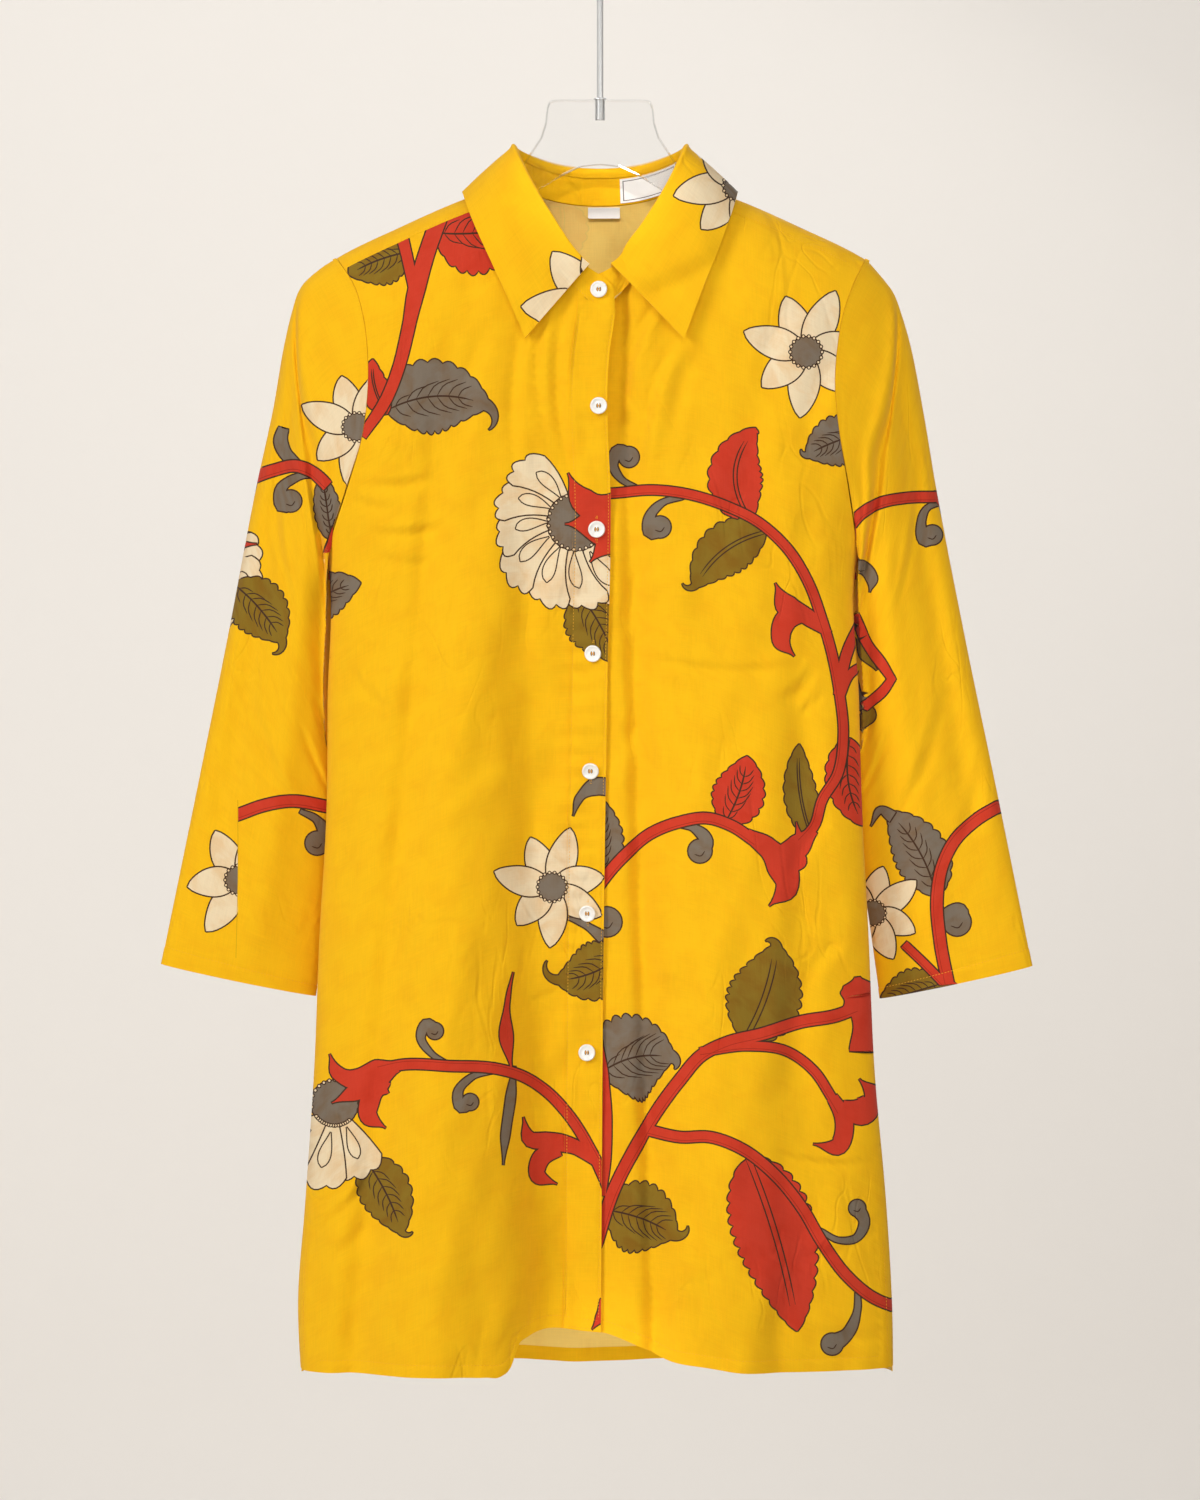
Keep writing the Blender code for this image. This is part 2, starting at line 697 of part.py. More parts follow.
def sleeve_point(side, turn, along):
    """Points of a sleeve. turn is 0 on its outer line and 90 degrees in front."""
    name = "right" if side < 0 else "left"
    far_x, far_drop = (SLEEVE_OUTER.at(f"{name}_{n}", along) for n in ("x", "drop"))
    near_x, near_drop = (SLEEVE_INNER.at(f"{name}_{n}", along) for n in ("x", "drop"))
    thick = SLEEVE_ROUND.at("depth", along)
    c = SLEEVE_FOLDS.columns
    for k in range(len(c["turn"])):
        away = np.mod(turn - math.radians(c["turn"][k] / MM) + np.pi, 2 * np.pi) - np.pi
        grown = smooth((along - c["start"][k]) / (60 * MM))
        grown = grown * smooth((c["end"][k] - along) / (90 * MM) + 0.25)
        width = math.radians(c["width"][k] / MM)
        thick = thick - c["depth"][k] * grown * np.exp(-((away / width) ** 2))
    share = (1 + np.cos(turn)) / 2
    x = near_x + (far_x - near_x) * share
    drop = near_drop + (far_drop - near_drop) * share
    y = SLEEVE_ROUND.at("behind", along) - np.sin(turn) * thick
    tube = np.stack([side * x, y, SHOULDER_Z - drop], -1)
    reach = BLEND_LENGTH * (1 - 0.75 * np.cos(turn / 2) ** 2)
    joined = smooth(along / reach)[..., None]
    loose = armhole_loop(side, turn) * (1 - joined) + tube * joined
    return clear_of_body(side, loose, BODY_CLEAR * smooth(along / (12 * MM)))


def sleeve_turns(side):
    """Turns of a sleeve's lines, from the armpit up the front and down the back."""
    corner, back_seam = yoke_turns(side)[1], float(arm_turn(YOKE_BACK))
    return np.concatenate(
        [
            np.linspace(math.pi, corner, LOW_ROWS + NECK_ROWS + 1),
            np.linspace(corner, 0, OVER + 1)[1:],
            -np.linspace(0, back_seam, BEHIND + 1)[1:],
            -np.linspace(back_seam, math.pi, FRONT_ROWS - 2 - HEM_ROWS - WAIST_ROWS + 1)[1:],
        ]
    )


def sleeve_place(side):
    turns = sleeve_turns(side)
    step = np.linspace(0, 1, len(turns))

    def place(u, v):
        return sleeve_point(side, np.interp(u, step, turns), SLEEVE_LENGTH * v**1.25)

    return place, len(step) - 1


# ---------------------------------------------------------------- hanger and buttons

def hook(finish, collection):
    """The hook and its straight stem, one bent wire."""
    radius = HOOK_RADIUS
    middle = -(radius - WIRE / 2)
    foot = PLATE_TOP_Z + FLANGE + SEAM
    arc = np.radians(np.linspace(-38, 205, 26))
    circle = np.stack([radius * np.cos(arc), middle + radius * np.sin(arc)], -1)
    stem_top = np.array([0.0, middle - 1.45 * radius])
    t = np.linspace(0, 1, 9)[:-1, None]
    pull = 0.75 * radius
    join = circle[0]
    bend = (2 * t**3 - 3 * t**2 + 1) * stem_top + (3 * t**2 - 2 * t**3) * join
    bend = bend + (t**3 - 2 * t**2 + t) * np.array([0, 1.6 * pull])
    bend = bend + (t**3 - t**2) * 1.6 * pull * np.array([-np.sin(arc[0]), np.cos(arc[0])])
    line = np.vstack([[[0, foot]], bend, circle])
    curve = bpy.data.curves.new("hook", "CURVE")
    curve.dimensions = "3D"
    curve.bevel_depth = WIRE / 2
    curve.bevel_resolution = 4
    curve.use_fill_caps = True
    spline = curve.splines.new("POLY")
    spline.points.add(len(line) - 1)
    for point, (x, z) in zip(spline.points, line):
        point.co = (x, 0, z, 1)
    curve.materials.append(finish)
    made = bpy.data.objects.new("hook", curve)
    collection.objects.link(made)


def lathe(name, profile_points, steps, finish, collection):
    """A turned body from (radius, height) points, closed on its axis."""
    bm = bmesh.new()
    verts = [bm.verts.new((r, 0, z)) for r, z in profile_points]
    for one, two in zip(verts, verts[1:]):
        bm.edges.new((one, two))
    made = new_object(name, bm, finish, collection)
    screw = made.modifiers.new("Turned", "SCREW")
    screw.steps = screw.render_steps = steps
    screw.use_merge_vertices = True
    screw.merge_threshold = 1e-5
    screw.use_normal_calculate = True
    return made


def plate(finish, collection, cutters):
    """The clear plate: a neck with two arms that carry the shoulders."""
    bm = bmesh.new()
    top_out = PLATE_TOP.places
    foot_out = PLATE_FOOT.places[::-1]
    right_half = [(x, PLATE_TOP.at("drop", x)) for x in top_out]
    right_half += [(x, PLATE_FOOT.at("drop", x)) for x in foot_out]
    left_half = [(-x, drop) for x, drop in right_half[::-1]][1:-1]
    outline = right_half + left_half
    face = bm.faces.new([bm.verts.new((x, -PLATE / 2, SHOULDER_Z - d)) for x, d in outline])
    extruded = bmesh.ops.extrude_face_region(bm, geom=[face])
    new_verts = [g for g in extruded["geom"] if isinstance(g, bmesh.types.BMVert)]
    bmesh.ops.translate(bm, verts=new_verts, vec=(0, PLATE, 0))
    bmesh.ops.recalc_face_normals(bm, faces=bm.faces)
    made = new_object("hanger_plate", bm, finish, collection)
    edge = made.modifiers.new("Edge", "BEVEL")
    edge.width = PLATE_EDGE
    edge.segments = 1
    edge.limit_method = "ANGLE"
    edge.angle_limit = math.radians(50)
    cut = made.modifiers.new("Pocket", "BOOLEAN")
    cut.operation = "DIFFERENCE"
    cut.solver = "EXACT"
    cut.object = pocket(finish, cutters)


def pocket(finish, cutters):
    """What is cut out of the plate for the ferrule."""
    bm = bmesh.new()
    bmesh.ops.create_cone(
        bm,
        cap_ends=True,
        segments=20,
        radius1=FERRULE_RADIUS + SEAM,
        radius2=FERRULE_RADIUS + SEAM,
        depth=2 * (FERRULE_LENGTH + SEAM),
    )
    made = new_object("pocket", bm, finish, cutters)
    made.location.z = PLATE_TOP_Z
    made.hide_render = True
    made.display_type = "WIRE"
    return made


def ferrule(finish, collection):
    """The metal socket in the plate, with the flange that sits on its top."""
    r, f, z = FERRULE_RADIUS, FLANGE_RADIUS - 0.6 * MM, PLATE_TOP_Z
    gap = SEAM / 2
    points = [
        (0, z - FERRULE_LENGTH),
        (r - 0.4 * MM, z - FERRULE_LENGTH),
        (r, z - FERRULE_LENGTH + 0.4 * MM),
        (r, z + gap),
        (f, z + gap),
        (f, z + FLANGE - 0.3 * MM),
        (f - 0.3 * MM, z + FLANGE),
        (0, z + FLANGE),
    ]
    lathe("ferrule", points, 24, finish, collection)


def button(index, centre, normal, finish, collection):
    """A round button with a raised rim, its face along the normal."""
    r, h = BUTTON_RADIUS, BUTTON_HEIGHT
    points = [
        (0, 0),
        (0.72 * r, 0),
        (r, 0.45 * h),
        (0.97 * r, 0.85 * h),
        (0.84 * r, h),
        (0.68 * r, 0.7 * h),
        (0, 0.62 * h),
    ]
    made = lathe(f"button_{index}", points, 20, finish, collection)
    made.matrix_world = Matrix.Translation(centre) @ normal.to_track_quat("Z", "Y").to_matrix().to_4x4()
    return made


def buttons(band, finish, collection):
    """One on the stand's upper end and the others down the band."""
    half = BAND_WIDTH / 2
    stand = faceted(stand_place, len(stand_lines()[0]) - 1, 2)
    for k, (drop, x) in enumerate(zip(BUTTONS.places, BUTTONS.columns["x"])):
        if k == 0:
            place, u = stand, np.array([0.55 / (len(stand_lines()[0]) - 1)])
            v = np.array([0.5])
        else:
            place, u = band, np.array([(edge_x(drop) - x) / (2 * half)])
            low, high = np.array([0.0]), np.array([1.0])
            for _ in range(30):
                v = (low + high) / 2
                above = SHOULDER_Z - band(u, v)[:, 2] < drop
                low, high = np.where(above, low, v), np.where(above, v, high)
        centre = place(u, v)[0]
        out = raised(place, u, v, 1.0, FORWARD)[0] - centre
        centre = centre + out * (WALL / 2 + 0.7 * MM)
        button(k + 1, Vector(centre), Vector(out), finish, collection)


def main():
    for old in list(bpy.data.objects):
        bpy.data.objects.remove(old)
    tunic = bpy.data.collections.new("kurta tunic on hanger")
    cutters = bpy.data.collections.new("cutters")
    bpy.context.scene.collection.children.link(tunic)
    bpy.context.scene.collection.children.link(cutters)

    cotton = material("printed cotton", (0.86, 0.5, 0.02), 0.85)
    label = material("label satin", (0.86, 0.84, 0.8), 0.6)
    pearl = material("pearl button", (0.85, 0.82, 0.75), 0.25)
    steel = material("bright steel", (0.6, 0.6, 0.6), 0.2, metallic=1.0)
    acrylic = material("clear acrylic", (0.95, 0.97, 0.98), 0.03, clear=1.0)

    hook(steel, tunic)
    ferrule(steel, tunic)
    plate(acrylic, tunic, cutters)

    fronts = {}
    for name, side in (("front_right", -1), ("front_left", 1)):
        fronts[side] = front_place(side)
        cloth(name, FRONT_COLUMNS, FRONT_ROWS, fronts[side], cotton, tunic)
    cloth("back", BACK_COLUMNS, FRONT_ROWS - 2, back_place, cotton, tunic)
    place, columns = yoke_place()
    cloth("yoke", columns, 7, place, cotton, tunic)

    rows = FRONT_ROWS - NECK_ROWS
    spans = (0, 2 / FRONT_COLUMNS), (0, rows / FRONT_ROWS)
    band = patch(fronts[-1], *spans, LAYER, FORWARD)
    cloth("button_band", 2, rows, band, cotton, tunic)

    for name, side in (("sleeve_right", -1), ("sleeve_left", 1)):
        place, columns = sleeve_place(side)
        cloth(name, columns, SLEEVE_ROWS, place, cotton, tunic, closed=True)

    stand_cells = len(stand_lines()[0]) - 1
    cloth("collar_stand", stand_cells, 2, stand_place, cotton, tunic)
    cloth("collar_leaf", stand_cells - 2, LEAF_ROWS, leaf_place, cotton, tunic)
    stand = faceted(stand_place, stand_cells, 2)
    middle = stand_cells / 2
    spans = ((middle + 1.35) / stand_cells, (middle + 7) / stand_cells), (0.03, 0.97)
    inside = WALL / 2 + LABEL / 2 + SEAM
    neck_label = patch(stand, *spans, inside, np.array([-0.4, -1, 0]))
    cloth("neck_label", 7, 2, neck_label, label, tunic, wall=LABEL)
    place, columns = yoke_place()
    spans = ((columns / 2 - 0.6) / columns, (columns / 2 + 0.95) / columns), (0.05, 0.21)
    tab = patch(faceted(place, columns, 7), *spans, inside, FORWARD)
    cloth("size_tab", 4, 2, tab, label, tunic, wall=LABEL)
    buttons(faceted(band, 2, rows), pearl, tunic)


main()
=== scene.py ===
"""Looks of a printed cotton kurta tunic on a clear hanger, around its CAD frame.

+Z is up, -Y is the side with the buttons, and +X is the wearer's left. Heights on the garment
are given as a drop below the neck end of the shoulder. Each piece of cloth is cut flat, with
its print, and then laid on the form in which it hangs.
"""

import math

import bmesh
import bpy
import numpy as np
from bpy.props import FloatProperty, FloatVectorProperty, IntProperty, PointerProperty
from mathutils import Matrix, Vector
from mathutils.geometry import delaunay_2d_cdt


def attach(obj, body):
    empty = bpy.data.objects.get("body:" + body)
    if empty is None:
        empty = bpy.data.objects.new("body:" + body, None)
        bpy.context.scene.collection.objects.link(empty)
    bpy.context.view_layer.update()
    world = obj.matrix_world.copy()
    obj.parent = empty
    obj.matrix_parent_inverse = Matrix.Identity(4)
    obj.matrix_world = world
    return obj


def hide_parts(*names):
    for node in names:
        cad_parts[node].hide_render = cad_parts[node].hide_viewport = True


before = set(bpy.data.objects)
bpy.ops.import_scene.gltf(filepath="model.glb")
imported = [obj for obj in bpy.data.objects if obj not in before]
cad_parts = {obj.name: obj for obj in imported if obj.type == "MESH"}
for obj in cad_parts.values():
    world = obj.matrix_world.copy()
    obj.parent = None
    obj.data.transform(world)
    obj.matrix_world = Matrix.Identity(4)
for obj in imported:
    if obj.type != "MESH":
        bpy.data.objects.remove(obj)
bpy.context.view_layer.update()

bl_info = {
    "name": "Kurta tunic on hanger",
    "version": (1, 0, 0),
    "blender": (4, 5, 0),
    "location": "View3D > Sidebar > Kurta",
    "description": "Builds a printed cotton kurta tunic that hangs on a clear hanger",
    "category": "Object",
}

MM = 0.001

# ------------------------------------------------------------ the garment's form

SHOULDER_Z = -190.55 * MM  # the neck end of the shoulder
RIDGE_HEIGHT = 90 * MM  # how far below the shoulder the cloth takes to reach its full depth
PIT = 280 * MM  # drop of the armpit
SIDE_POWER = 3.2  # how square the torso's section is
SLIT = 100 * MM
BACK_HEM = 891 * MM
NECK_HALF = 66 * MM
NECK_FRONT = 99 * MM
NECK_BACK = 15 * MM
NECK_POINT = 1.6  # over 1, the neckline comes to a soft V
STAND_FRONT = 24 * MM
STAND_BACK = 20 * MM
STAND_LEAN = 3 * MM
FOLD_RISE = 7 * MM
FOLD_ROUND = 2.6 * MM
LEAF_LIFT = 6.0 * MM
YOKE_FRONT = 13 * MM
YOKE_BACK = 105 * MM
BAND_WIDTH = 28 * MM
SLEEVE_LENGTH = 550 * MM
BLEND_LENGTH = 150 * MM
SLEEVE_GIRTH = 46 * MM  # a mean radius, to lay the sleeve out flat
STAND_GIRTH, LEAF_GIRTH, LEAF_DEPTH = 430 * MM, 460 * MM, 72 * MM
LAYER = 1.1 * MM  # from one layer of cloth to the next one on it
EYE_AWAY, EYE_DROP = 3.3, 270 * MM  # where the camera stands, from the shoulder
# A drawing is 1200 units across and 1500 down. The camera looks at its middle at EYE_ROW.
DRAWN_UNIT = 0.75 * MM
DRAWN_HEIGHT, DRAWN_MIDDLE, EYE_ROW = 1500, 600, 544


class Table:
    """Rows of sizes in millimetres with named columns, read as smooth curves down the first."""

    def __init__(self, names, *rows):
        self.columns = dict(zip(names.split(), np.array(rows, float).T * MM))
        self.places = next(iter(self.columns.values()))

    def at(self, name, place):
        values = self.columns[name]
        place = np.clip(place, self.places[0], self.places[-1])
        slope = np.gradient(values, self.places)
        i = np.clip(np.searchsorted(self.places, place) - 1, 0, len(self.places) - 2)
        step = self.places[i + 1] - self.places[i]
        t = (place - self.places[i]) / step
        start = (1 + 2 * t) * (1 - t) ** 2 * values[i] + t * (1 - t) ** 2 * step * slope[i]
        end = t * t * (3 - 2 * t) * values[i + 1] - t * t * (1 - t) * step * slope[i + 1]
        return start + end


BODY = Table(
    "drop right left front back",
    (-20, 225, 225, 50, 40),
    (60, 236, 238, 54, 42),
    (120, 238, 238, 56, 45),
    (180, 231, 228, 57, 46),
    (240, 214, 204, 57, 46),
    (280, 204.5, 193, 57, 46),
    (390, 204, 194, 55, 46),
    (475, 205, 196.5, 54, 46),
    (562, 210, 201, 55, 47),
    (663, 214, 205.5, 56, 48),
    (767, 221, 214.5, 57, 49),
    (836, 226, 218.5, 58, 50),
    (905, 223, 219.5, 58, 50),
)
ARMHOLE = Table(
    "drop right left",
    (56, 197, 199),
    (75, 184, 189),
    (100, 175.5, 180),
    (125, 172, 175.5),
    (160, 172, 174),
    (190, 176, 177.5),
    (227, 187, 184),
    (262, 199, 190),
    (280, 204.5, 193),
)
RIDGE = Table(
    "out drop", (0, -3), (40, -2), (66, 0), (102, 12), (150, 33), (197, 56), (240, 86)
)
HEM = Table(
    "x drop",
    (-230, 887),
    (-120, 883),
    (-84, 884),
    (-73, 884),
    (-66, 878),
    (-60, 862),
    (-54, 858),
    (-8, 857),
    (4, 858),
    (29, 866),
    (46, 874),
    (80, 879),
    (225, 885),
)
EDGE = Table("drop x", (60, 12), (100, 11), (130, 7), (250, 8), (350, 6), (540, 3), (880, 0.5))
# Long folds. Depth is inwards, so a ridge has a negative one.
FRONT_FOLDS = Table(
    "top_drop top_x foot_drop foot_x steep gentle depth",
    (230, -104, 885, -126, 30, 60, -15),
    (100, -58, 885, -36, 24, 85, 23),
    (180, 4, 885, 8, 50, 95, 12),
    (560, -66, 885, -22, 20, 40, 7),
    (90, -112, 620, -160, 10, 22, 9),
    (640, -160, 885, -184, 14, 22, 5),
    (0, 14, 330, 24, 6, 12, 9),
    (120, 44, 460, 70, 15, 20, -3),
    (330, 84, 885, 100, 32, 50, -5),
    (190, 158, 420, 150, 11, 16, 5),
    (420, 150, 885, 160, 17, 24, 6),
    (110, 96, 300, 128, 12, 16, 3),
    (170, 200, 885, 222, 52, 24, 12),
)
BACK_FOLDS = Table(
    "top_drop top_x foot_drop foot_x steep gentle depth",
    (140, -120, 885, -142, 22, 30, 9),
    (180, -60, 885, -76, 24, 34, -7),
    (130, -8, 885, -12, 22, 32, 8),
    (200, 52, 885, 60, 26, 36, -8),
    (150, 108, 885, 128, 20, 30, 9),
    (420, 160, 885, 178, 20, 24, -5),
    (420, -170, 885, -184, 18, 24, -5),
)
# Soft folds of the collar's leaf, each from one point to the other
LEAF_CREASES = Table(
    "from_x from_drop to_x to_drop width depth",
    (26, 90, 100, 52, 9, 3.0),
    (70, 30, 96, 78, 8, -1.0),
    (-84, 34, -60, 84, 8, 1.4),
    (-30, 60, -62, 42, 7, 1.0),
)
# Small creases, each from one point to the other
FRONT_CREASES = Table(
    "from_x from_drop to_x to_drop width depth",
    (-172, 226, -126, 222, 4, 1.4),
    (-168, 262, -118, 258, 4, 1.6),
    (-165, 280, -125, 284, 4, 1.0),
    (-184, 236, -155, 244, 4, 1.2),
    (-186, 362, -158, 392, 4, 1.3),
    (-150, 190, -132, 230, 6, 0.9),
    (-217, 783, -172, 742, 4, 1.7),
    (-216, 764, -182, 738, 4, 1.4),
    (-216, 808, -165, 768, 6, 1.3),
    (-150, 600, -110, 640, 6, 0.9),
    (70, 310, 150, 388, 9, 1.2),
    (92, 300, 168, 366, 6, 0.9),
    (30, 352, 140, 361, 4, 0.9),
    (133, 722, 205, 730, 3, 1.3),
    (150, 800, 206, 782, 5, 1.2),
    (158, 852, 212, 862, 5, 1.4),
    (136, 386, 160, 362, 4, 1.3),
    (150, 396, 164, 380, 3, 1.2),
    (41, 88, 12, 194, 4.5, 2.2),
    (52, 124, 30, 216, 4.5, 1.7),
    (70, 130, 52, 200, 6, 1.0),
    (38, 280, 14, 342, 6, 1.5),
    (30, 400, 10, 440, 6, 1.2),
    (-56, 104, -60, 226, 5, 1.5),
    (-26, 90, -22, 216, 5, 2.0),
    (-42, 96, -40, 190, 4, 1.4),
    (-84, 110, -104, 200, 7, 1.5),
    (-150, 90, -120, 150, 9, 1.3),
    (140, 90, 118, 160, 8, 1.3),
    (176, 130, 150, 200, 8, 1.4),
    (86, 470, 150, 540, 10, 1.1),
    (170, 470, 140, 520, 6, 1.2),
    (182, 560, 150, 600, 6, 1.2),
    (-60, 420, -160, 500, 10, 0.9),
    (20, 560, 60, 610, 7, 0.8),
    (-14, 640, -42, 700, 7, 0.8),
    (30, 690, 90, 800, 10, 1.0),
    (-30, 790, -10, 840, 7, 0.9),
)
BACK_CREASES = Table(
    "from_x from_drop to_x to_drop width depth",
    (-120, 240, -60, 300, 9, 1.4),
    (110, 230, 60, 300, 9, 1.4),
    (-150, 420, -80, 470, 11, 1.4),
    (140, 430, 70, 470, 11, 1.4),
    (-60, 600, 20, 640, 12, 1.2),
    (90, 560, 30, 620, 12, 1.2),
    (-180, 700, -120, 730, 8, 1.0),
    (180, 690, 120, 730, 8, 1.0),
    (-170, 180, -120, 250, 10, 1.6),
    (165, 180, 120, 250, 10, 1.6),
)
BUTTONS = Table(
    "drop x",
    (84, 0),
    (168, -1),
    (259, -2.5),
    (351, -5),
    (438, -7),
    (544, -9),
    (648, -9.6),
)
LEAF_EDGE = Table(
    "turn right_out left_out over",
    (18, 55, 62, -171),
    (33, 66.5, 71.5, -143),
    (47, 79, 82, -112),
    (60, 90, 91.5, -80),
    (74, 99, 99.5, -42),
    (90, 103, 103, 2),
    (107, 98, 98, 34),
    (125, 82, 82, 57),
    (143, 61, 61, 71),
    (162, 33, 33, 79),
    (180, 0, 0, 82),
)
SLEEVE_OUTER = Table(
    "along right_x right_drop left_x left_drop",
    (0, 197, 56, 199, 60),
    (22, 214, 66, 213, 72),
    (42, 225.5, 79, 221, 83),
    (62, 231.5, 96, 227, 99),
    (84, 236.5, 116, 232.5, 117),
    (140, 246.5, 170, 244, 173),
    (190, 257.5, 219, 252.5, 222),
    (310, 280.5, 337, 275.5, 340),
    (430, 304.5, 455, 300, 457),
    (550, 331.5, 587.5, 326.5, 589),
)
SLEEVE_INNER = Table(
    "along right_x right_drop left_x left_drop",
    (0, 204.5, 280, 193, 280),
    (60, 200, 306, 189, 306),
    (180, 197, 372, 187, 372),
    (330, 197, 470, 192, 470),
    (470, 207, 560, 205, 562),
    (550, 215.5, 611.5, 212, 613.5),
)
SLEEVE_ROUND = Table(
    "along depth behind",
    (0, 34, 0),
    (60, 36, 10),
    (150, 33, 20),
    (300, 28, 27),
    (430, 22, 30),
    (550, 14, 28),
)
SLEEVE_FOLDS = Table(
    "turn width depth start end",
    (52, 15, 7, 40, 460),
    (98, 13, -4, 120, 540),
    (235, 20, 7, 60, 520),
    (300, 18, -5, 150, 540),
)
# Small creases of both sleeves, along the cloth. A turn of 90 faces forward.
SLEEVE_CREASES = Table(
    "from_turn from_along to_turn to_along width depth",
    (10, 42, 90, 76, 6, 4.2),
    (84, 72, 134, 112, 7, 4.2),
    (130, 104, 142, 300, 9, 3.2),
    (110, 60, 140, 150, 7, 1.6),
    (40, 150, 80, 210, 8, 1.2),
    (120, 250, 168, 300, 7, 1.6),
    (110, 300, 160, 330, 6, 1.3),
    (60, 330, 110, 380, 9, 1.2),
    (30, 400, 66, 440, 8, 1.0),
    (250, 100, 290, 200, 9, 1.6),
    (220, 250, 280, 330, 9, 1.4),
    (250, 400, 300, 460, 9, 1.2),
)


def smooth(t):
    t = np.clip(t, 0, 1)
    return t * t * (3 - 2 * t)


def ridge(x):
    return RIDGE.at("drop", np.abs(x))


def half_width(x, drop):
    return np.where(x < 0, BODY.at("right", drop), BODY.at("left", drop))


def armhole(side, drop):
    """How far out the sleeve's seam or, below the armpit, the side seam lies."""
    name = "right" if side < 0 else "left"
    return np.where(drop < PIT, ARMHOLE.at(name, drop), BODY.at(name, drop))


def folds(table, x, drop):
    """How far the long folds push the cloth inwards. One side of each is gentler."""
    c = table.columns
    total = 0 * x
    for k in range(len(c["depth"])):
        t = (drop - c["top_drop"][k]) / (c["foot_drop"][k] - c["top_drop"][k])
        line = c["top_x"][k] + (c["foot_x"][k] - c["top_x"][k]) * t
        width = np.where((x - line) * c["depth"][k] > 0, c["gentle"][k], c["steep"][k])
        width = width * (0.75 + 0.35 * np.clip(t, 0, 1))
        grown = smooth(t / 0.35) * (0.6 + 0.4 * smooth(t))
        total = total + c["depth"][k] * grown * np.exp(-(((x - line) / width) ** 2))
    return total


def creases(table, across, down):
    """How far the small creases push the cloth inwards. Each has a low ridge beside it."""
    c = list(table.columns.values())
    total = 0 * across
    for x0, y0, x1, y1, width, deep in zip(*c):
        length = math.hypot(x1 - x0, y1 - y0)
        wx, wy = (x1 - x0) / length, (y1 - y0) / length
        t = ((across - x0) * wx + (down - y0) * wy) / length
        bow = 0.06 * length * (1 - (2 * t - 1) ** 2)
        off = (across - x0) * wy - (down - y0) * wx + bow
        fade = smooth((t + 0.15) / 0.4) * smooth((1.15 - t) / 0.4)
        shape = np.exp(-((off / width) ** 2)) - 0.55 * np.exp(-(((off - 1.7 * width) / width) ** 2))
        total = total + deep * fade * shape
    return total


def puckers(x, drop):
    """Small pulls in the front opening, at each button."""
    total = 0 * x
    for at, middle in zip(BUTTONS.places[1:], BUTTONS.columns["x"][1:]):
        for off, deep in ((-17, 0.35), (12, 0.45), (26, 0.3)):
            dy, dx = drop - at - off * MM, x - middle
            shape = np.exp(-((dy / (3.5 * MM)) ** 2) - ((dx - 6 * MM) / (17 * MM)) ** 2)
            total = total + deep * MM * shape
    wave = np.sin(2 * math.pi * drop / (14 * MM) + 2 * np.sin(drop / (41 * MM)))
    span = smooth((drop - 270 * MM) / (60 * MM)) * smooth((650 * MM - drop) / (60 * MM))
    return total + 0.4 * MM * wave * span * np.exp(-(((x + 16 * MM) / (15 * MM)) ** 2))


def rumple(x, drop, face):
    """The slight unevenness of worn cotton."""
    total = 0 * x
    for k, (across, down, deep) in enumerate(
        ((47, 190, 0.40), (-63, 120, 0.42), (31, 88, 0.20), (-24, 140, 0.14), (90, 57, 0.22))
    ):
        wave = (x / across + drop / down) / MM
        total = total + deep * np.sin(wave * 2 * math.pi + 1.7 * k + face)
    return total * MM


def depth(x, drop, face):
    """Y of the cloth's middle at this place on the front (face -1) or the back (face 1)."""
    name, table = ("front", FRONT_FOLDS) if face < 0 else ("back", BACK_FOLDS)
    out = np.clip(np.abs(x) / half_width(x, drop), 0, 1)
    round_side = np.sqrt(np.clip(1 - out**SIDE_POWER, 0, 1))
    fallen = np.clip((drop - ridge(x)) / RIDGE_HEIGHT, 0, 1)
    round_top = np.sqrt(1 - (1 - fallen) ** 2)
    pushed = folds(table, x, drop) * np.minimum(1, 1.6 * round_side)
    fine = creases(FRONT_CREASES if face < 0 else BACK_CREASES, x, drop) + rumple(x, drop, face)
    if face < 0:
        fine = fine + puckers(x, drop)
    strength = bpy.context.scene.kurta_cloth.creases
    return face * (BODY.at(name, drop) - pushed - strength * fine) * round_side * round_top


def profile(x, w):
    """Points over the shoulder. w is 0 on its top line, negative in front and positive behind."""
    angle = np.minimum(np.abs(w) / RIDGE_HEIGHT, math.pi / 2)
    below = np.maximum(np.abs(w) - RIDGE_HEIGHT * math.pi / 2, 0)
    drop = ridge(x) + RIDGE_HEIGHT * (1 - np.cos(angle)) + below
    y = np.where(w < 0, depth(x, drop, -1), depth(x, drop, 1))
    return np.stack([x, y, SHOULDER_Z - drop], -1)


def profile_drop(x, w):
    """Drop of a place of the torso's pattern."""
    angle = np.minimum(np.abs(w) / RIDGE_HEIGHT, math.pi / 2)
    below = np.maximum(np.abs(w) - RIDGE_HEIGHT * math.pi / 2, 0)
    return ridge(x) + RIDGE_HEIGHT * (1 - np.cos(angle)) + below


def profile_place(x, drop):
    """How far w is from 0 at this place."""
    fallen = np.maximum(drop - ridge(x), 0) / RIDGE_HEIGHT
    return RIDGE_HEIGHT * np.where(
        fallen < 1, np.arccos(np.clip(1 - fallen, 0, 1)), math.pi / 2 + fallen - 1
    )


def neck_ring(turn, out=0.0):
    """(x, drop) of the neck seam. turn is 0 at the front, 90 degrees at the left shoulder."""
    side, along = np.sign(np.sin(turn)), np.cos(turn)
    off = np.abs(np.sin(turn))
    front = along > 0
    x = side * (NECK_HALF + out) * np.where(front, off**NECK_POINT, off**0.9)
    low = (NECK_FRONT + out) * np.abs(along) ** NECK_POINT
    return x, np.where(front, low, (NECK_BACK + out) * along**2)


